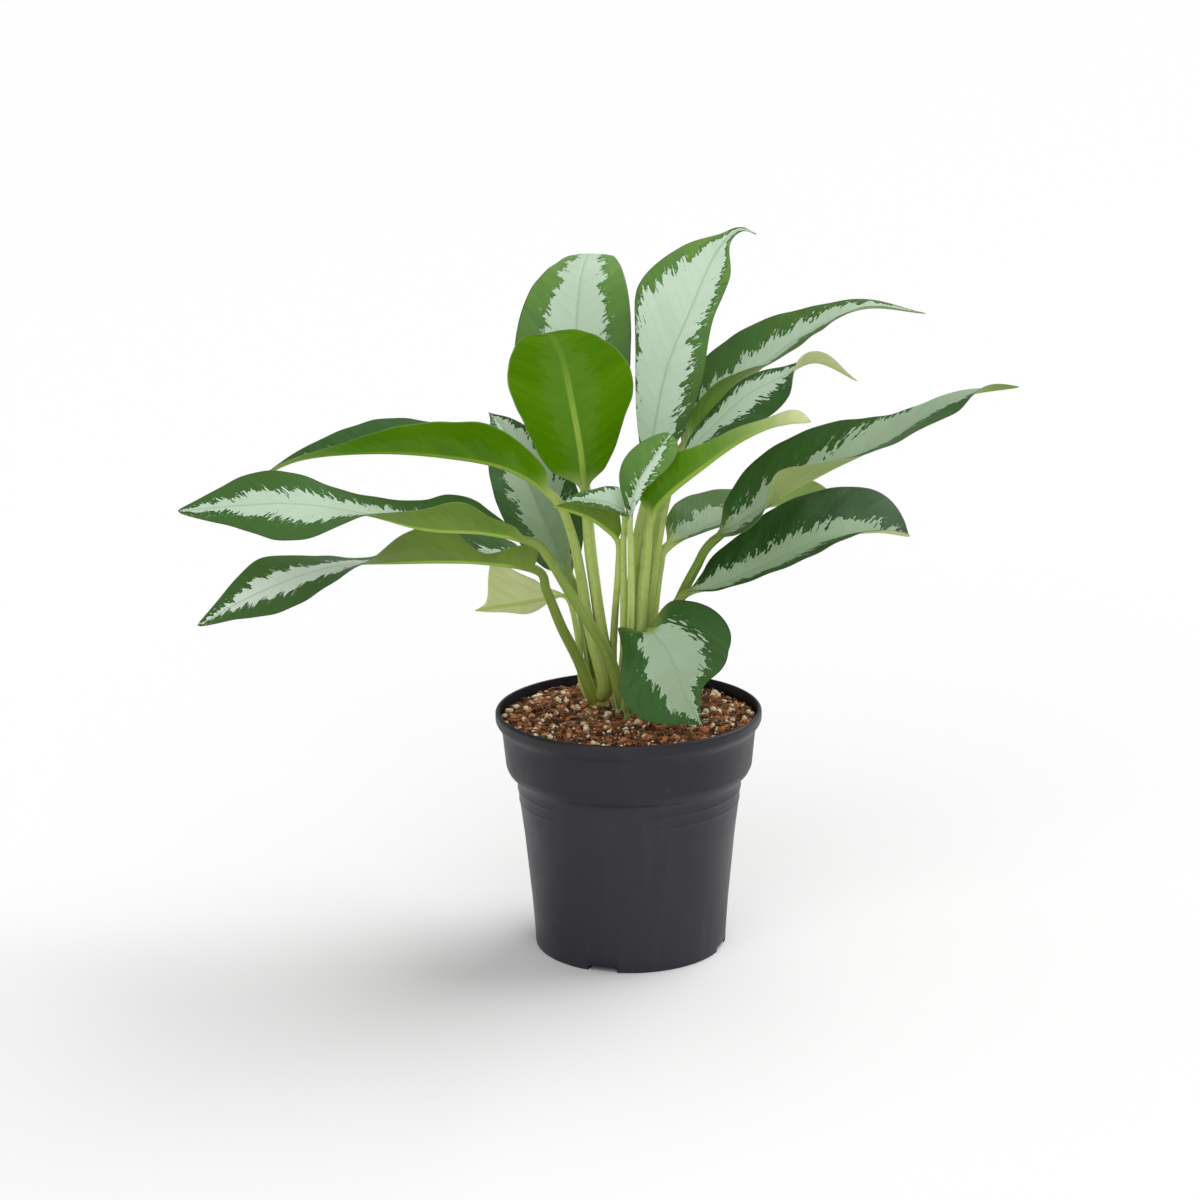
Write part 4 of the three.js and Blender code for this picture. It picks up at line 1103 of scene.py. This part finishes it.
class LeafShader(Shader):
    """The material of all leaves. Their points say where on a leaf they are, and its colouring."""

    def __init__(self):
        super().__init__("leaf")
        self.vein, self.across = self.read("vein"), self.read("across")
        self.shift = self.times(self.read("seed"), 17.0)
        self.silver = self.read("silver")
        self.reached, self.silvered = self.silver_edge()
        self.patches = self.streaks(26.0, 12.0, 3.0, offset=11.0)
        self.grain = self.streaks(2.2, 0.7, 2.0, 0.6, offset=23.0)
        self.margin = self.span(self.read("edge"), 0.972, 0.995)
        self.line, self.shallow = self.vein_lines()

    def streaks(self, long, wide, detail=2.0, roughness=0.55, offset=0.0):
        """Noise drawn out along the side veins: long across the blade, wide along it."""
        along_blade = self.math("DIVIDE", self.vein, wide)
        across_blade = self.math("DIVIDE", self.across, long)
        place = self.node("CombineXYZ", along_blade, across_blade, self.plus(self.shift, offset))
        return self.noise(place.outputs[0], 1.0, detail, roughness)

    def chosen(self, name):
        """The colour that a leaf's setting chooses."""
        return self.mix(self.read(name), *LEAF_COLOURS[name])

    def silver_edge(self):
        """Where the blade is silvery: up to a jagged edge, with islands on both sides of it."""
        jag = 0.0
        for height, long, wide, offset in TEETH:
            tooth = self.minus(self.streaks(long, wide, 1.0, offset=offset), 0.5)
            jag = self.plus(jag, self.times(tooth, height))
        reached = self.plus(self.silver, self.times(jag, self.read("feather")))
        specks = self.span(self.streaks(2.8, 1.0, 1.0, offset=31.0), 0.64, 0.67)
        outer = self.times(specks, self.span(reached, -5.0, -1.0))
        outer = self.times(outer, self.span(self.silver, -9.0, -4.0))
        specks = self.span(self.streaks(2.4, 0.9, 1.0, offset=37.0), 0.67, 0.7)
        inner = self.times(specks, self.span(reached, 4.0, 0.5))
        silvered = self.math("MAXIMUM", self.span(reached, -0.14, 0.14), outer)
        return reached, self.times(silvered, self.minus(1.0, inner))

    def vein_lines(self):
        """Fine lines along the side veins, over all of a blade and without its midrib."""
        phase = self.math("DIVIDE", self.vein, VEINS["spacing"])
        wobble = self.times(self.minus(self.streaks(20.0, 9.0), 0.5), 0.9)
        turn = self.math("FRACT", self.plus(phase, wobble))
        from_line = self.math("ABSOLUTE", self.minus(turn, 0.5))
        line = self.minus(1.0, self.span(from_line, 0.0, 0.16))
        return line, self.times(line, self.span(self.across, 0.5, 4.0))


def green_colour(m):
    green = m.chosen("fresh")
    green = m.tint(green, (62, 114, 58), m.patches, 0.3, 0.7, 0.38)
    green = m.mix(m.times(m.shallow, 0.05), green, (112, 150, 92))
    return m.tint(green, (122, 156, 90), m.grain, 0.62, 0.74, 0.14)


def silver_colour(m):
    silver = m.chosen("bright")
    silver = m.tint(silver, (178, 206, 172), m.patches, 0.35, 0.75, 0.25)
    silver = m.mix(m.times(m.shallow, 0.05), silver, (132, 162, 126))
    # Painted light: where bright is above 1, the silver is lifted towards white.
    painted_light_lift = m.minus(m.read("bright"), 1.0)
    silver = m.mix(painted_light_lift, silver, (250, 255, 248))
    return m.mix(m.span(m.reached, 0.2, 2.2, 0.22, 0.0), silver, (206, 230, 200))


def upper_colour(m):
    """Green and silver, with a dark rim round the silver, a pale midrib and a dark margin."""
    upper = m.mix(m.silvered, green_colour(m), silver_colour(m))
    rim = m.times(m.span(m.reached, -1.6, -0.3), m.minus(1.0, m.silvered))
    upper = m.mix(m.times(rim, 0.6), upper, (24, 56, 16))
    midrib = m.minus(1.0, m.span(m.across, 0.2, 1.0))
    upper = m.mix(m.times(midrib, 0.35), upper, (140, 168, 132))
    return m.mix(m.times(m.margin, 0.6), upper, (72, 74, 62))


def under_colour(m):
    """Plain green with darker patches and lines, a pale midrib and a pale margin."""
    under = m.mix(m.read("pale"), m.chosen("vivid"), CREAM)
    under = m.tint(under, m.mix(0.35, under, (48, 88, 4)), m.patches, 0.3, 0.72, 0.35)
    under = m.mix(m.times(m.shallow, 0.16), under, m.mix(0.45, under, (48, 92, 6)))
    under = m.mix(m.times(m.span(m.reached, -1.0, 3.0), 0.05), under, (186, 210, 150))
    cloudy = m.streaks(60.0, 22.0, 2.0, offset=53.0)
    under = m.tint(under, m.mix(0.5, under, (146, 188, 40)), cloudy, 0.42, 0.7, 0.3)
    midrib = m.minus(1.0, m.span(m.across, 0.9, 2.0))
    midrib = m.times(midrib, m.span(m.vein, 40.0, 130.0, 0.7, 0.12))
    under = m.mix(midrib, under, (170, 200, 84))
    return m.mix(m.times(m.margin, 0.35), under, (176, 190, 130))


def stalk_colour(m):
    """Yellowish at the foot, with fine stripes along it, blotches and pale lips."""
    stalk = m.chosen("tone")
    stalk = m.mix(m.span(m.read("lift"), 0.0, 0.4, 0.5, 0.0), stalk, (150, 156, 50))
    along_stalk = m.math("DIVIDE", m.vein, 30.0)
    place = m.node("CombineXYZ", along_stalk, m.times(m.across, 1.6), m.shift).outputs[0]
    stripe = m.span(m.noise(place, 1.0, 3.0, 0.6), 0.35, 0.7)
    share = m.plus(0.12, m.times(m.read("tone"), 0.4))
    stalk = m.mix(m.times(stripe, share), stalk, (206, 218, 140))
    dark_stripe = m.noise(place, 1.7, 2.0, 0.6)
    stalk = m.tint(stalk, (88, 122, 24), dark_stripe, 0.52, 0.7, 0.35)
    blotch = m.noise(m.place(), 260.0, 3.0, 0.6)
    stalk = m.tint(stalk, (104, 128, 44), blotch, 0.5, 0.75, 0.25)
    return m.mix(m.times(m.read("lip"), 0.55), stalk, (214, 220, 150))


def leaf_material():
    """Upper side, underside and stalk of every leaf, by what its points say."""
    m = LeafShader()
    under = m.read("under")
    blade = m.mix(under, upper_colour(m), under_colour(m))
    m.bump(m.plus(m.times(m.grain, 0.35), m.times(m.line, -0.65)), 0.16, 0.6)
    base = m.mix(m.read("stalk"), blade, stalk_colour(m))
    return m.finish(base, m.span(m.grain, 0.2, 0.8, 0.36, 0.5), m.span(under, 0.0, 1.0, 0.2, 0.03))


def pot_material():
    """Satin dark plastic with faint flow marks and scuffs, and painted shade on the collar."""
    m = Shader("pot_plastic")
    place = m.place()
    upright = m.stretched(place, 0.12)
    flow = m.noise(upright, 90.0, 4.0, 0.6)
    scuff = m.noise(upright, 420.0, 2.0, 0.7)
    cloud = m.noise(place, 22.0, 3.0, 0.55)
    grain = m.noise(place, 1800.0, 2.0, 0.6)
    base = m.mix(cloud, (29, 29, 38), (39, 39, 48))
    base = m.tint(base, (56, 57, 65), flow, 0.45, 0.8, 0.3)
    # Painted shade: from about 100 mm up, the collar and the lip are darkened.
    height = m.node("SeparateXYZ", place).outputs["Z"]
    base = m.tint(base, (3, 3, 11), height, 0.1, 0.106, 0.45)
    base = m.tint(base, (84, 85, 92), scuff, 0.66, 0.8, 0.2)
    m.bump(m.plus(m.times(flow, 0.6), m.times(grain, 0.4)), 0.08, 0.5)
    return m.finish(base, m.span(cloud, 0.3, 0.7, 0.4, 0.52), 0.4)


def soil_material():
    """Dark peat with reddish coir and lighter crumbs."""
    m = Shader("soil")
    place = m.place()
    large = m.noise(place, 38.0, 3.0, 0.6)
    middle = m.noise(place, 230.0, 4.0, 0.65)
    small = m.noise(place, 1100.0, 3.0, 0.7)
    base = m.mix(m.span(large, 0.38, 0.62), (40, 25, 18), (158, 100, 64))
    base = m.mix(m.span(middle, 0.4, 0.66), m.mix(0.6, base, (26, 16, 12)), base)
    base = m.tint(base, (150, 96, 62), small, 0.56, 0.72, 0.6)
    m.bump(m.plus(m.times(middle, 0.6), m.times(small, 0.4)), 1.2, 0.8)
    return m.finish(base, m.span(small, 0.3, 0.7, 0.82, 0.98), 0.25)


def bark_material():
    """Crumbs of peat and bark, from nearly black to reddish brown and tan."""
    m = Shader("bark")
    shade = m.read("shade")
    grain = m.noise(m.place(), 900.0, 4.0, 0.65)
    base = m.mix(m.span(shade, 0.15, 0.75), (38, 24, 17), (190, 114, 70))
    base = m.tint(base, (218, 160, 110), shade, 0.78, 1.0, 1.0)
    base = m.tint(base, m.mix(0.5, base, (190, 140, 100)), grain, 0.4, 0.7, 0.5)
    m.bump(grain, 0.4, 0.8)
    return m.finish(base, m.span(grain, 0.3, 0.7, 0.75, 0.95), 0.3)


def perlite_material():
    """Porous white grains, a few of them stained by the soil."""
    m = Shader("perlite")
    grain = m.noise(m.place(), 1500.0, 3.0, 0.7)
    base = m.mix(m.span(m.read("shade"), 0.4, 1.0), (255, 244, 218), (244, 220, 178))
    base = m.tint(base, (186, 164, 138), grain, 0.52, 0.75, 0.35)
    m.bump(grain, 0.35, 0.8)
    return m.finish(base, m.span(grain, 0.3, 0.7, 0.7, 0.95), 0.35)


def fibre_material():
    """Coir, from dark to light reddish brown."""
    m = Shader("fibre")
    grain = m.noise(m.place(), 700.0, 2.0, 0.6)
    base = m.mix(m.read("shade"), (122, 72, 44), (216, 158, 112))
    base = m.tint(base, (60, 34, 22), grain, 0.4, 0.7, 0.4)
    return m.finish(base, m.span(grain, 0.3, 0.7, 0.6, 0.85), 0.35)


def cane_material():
    """Yellowish green skin with darker rings and brown flecks."""
    m = Shader("cane")
    place = m.place()
    ring = m.noise(m.stretched(place, 4.0), 90.0, 3.0, 0.6)
    fleck = m.noise(place, 600.0, 3.0, 0.65)
    base = m.mix(ring, (132, 142, 44), (170, 168, 76))
    base = m.tint(base, (118, 92, 44), fleck, 0.55, 0.75, 0.7)
    m.bump(m.plus(m.times(ring, 0.6), m.times(fleck, 0.4)), 0.3, 0.7)
    return m.finish(base, m.span(fleck, 0.3, 0.7, 0.42, 0.6), 0.4)


def sheath_material():
    """Thin dry scale: pale, with lengthwise veins."""
    m = Shader("sheath")
    along_scale = m.math("DIVIDE", m.read("vein"), 14.0)
    place = m.node("CombineXYZ", along_scale, m.times(m.read("across"), 1.6), m.read("seed"))
    stripe = m.noise(place.outputs[0], 1.0, 3.0, 0.6)
    base = m.mix(m.span(stripe, 0.35, 0.7), (112, 138, 68), (176, 186, 122))
    m.bump(stripe, 0.15, 0.6)
    return m.finish(base, m.span(stripe, 0.3, 0.7, 0.5, 0.7), 0.35)


# ---------------------------------------------------------------- the part


def build_part():
    slots = {"leaf_" + number: slot for slot, numbers in FINISHES.items() for number in numbers.split()}
    leaf = leaf_material()
    for index, (name, settings) in enumerate(LEAVES.items()):
        belongs(make_leaf(name + "_fine", settings, 0.37 * (index + 1)), leaf, slots[name], name)

    sheath = sheath_material()
    for index, (name, settings) in enumerate(SCALES.items()):
        scale = make_leaf(name + "_fine", {**SCALE_COMMON, **settings}, 0.5 + index, **SCALE_ROWS)
        belongs(scale, sheath, "sheath", name)

    cane = cane_material()
    for name, shape in CANES.items():
        belongs(make_cane(name, shape), cane, "cane", name)

    belongs(make_pot(), pot_material(), "pot_plastic", "pot")
    belongs(make_soil(), soil_material(), "soil", "soil")
    belongs(scatter("soil_bark", BARK), bark_material(), "soil")
    belongs(scatter("soil_perlite", PERLITE), perlite_material(), "soil")
    belongs(make_fibres(), fibre_material(), "soil")


# ---------------------------------------------------------------- camera, floor and light


def make_camera():
    """The camera of the photograph: level with its angle, a little rolled."""
    elevation, roll = math.radians(CAMERA["elevation"]), math.radians(CAMERA["roll"])
    back = Vector((0, -math.cos(elevation), math.sin(elevation)))
    level = Vector((1, 0, 0))
    above = level.cross(-back)
    right = math.cos(roll) * level + math.sin(roll) * above
    up = math.cos(roll) * above - math.sin(roll) * level
    data = bpy.data.cameras.new("camera")
    data.sensor_width = 36
    data.lens = CAMERA["focal_px"] / CAMERA["image_px"] * data.sensor_width
    data.clip_start, data.clip_end = 0.05, 200
    camera = bpy.data.objects.new("camera", data)
    turn = Matrix((right, up, back)).transposed().to_4x4()
    place = Vector(CAMERA_AIM) + back * CAMERA["distance"]
    camera.matrix_world = Matrix.Translation(place * MM) @ turn
    bpy.context.scene.collection.objects.link(camera)
    bpy.context.scene.camera = camera


def make_floor():
    """A plain pale floor, far wider than the view."""
    far = FLOOR_REACH
    corners = [[-far, -far, 0], [far, -far, 0], [far, far, 0], [-far, far, 0]]
    floor = new_mesh("floor", corners, [(0, 1, 2, 3)])
    floor.data.materials.append(Shader("floor").finish((250, 250, 250), 0.9, 0.1))


def make_sun(name, comes_from, angle, strength):
    """A wide soft lamp that shines from a direction."""
    data = bpy.data.lights.new(name, "SUN")
    data.angle = math.radians(angle)
    data.energy = strength
    light = bpy.data.objects.new(name, data)
    light.rotation_mode = "QUATERNION"
    light.rotation_quaternion = (-Vector(comes_from)).to_track_quat("-Z", "Y")
    bpy.context.scene.collection.objects.link(light)


def light_scene():
    world = bpy.data.worlds.new("studio")
    world.use_nodes = True
    background = world.node_tree.nodes["Background"]
    background.inputs["Color"].default_value = (1, 1, 1, 1)
    background.inputs["Strength"].default_value = SKY_STRENGTH
    bpy.context.scene.world = world
    for name, lamp in LAMPS.items():
        make_sun(name, **lamp)
    view = bpy.context.scene.view_settings
    view.view_transform = "Standard"
    view.look = "None"


build_part()
make_camera()
make_floor()
light_scene()
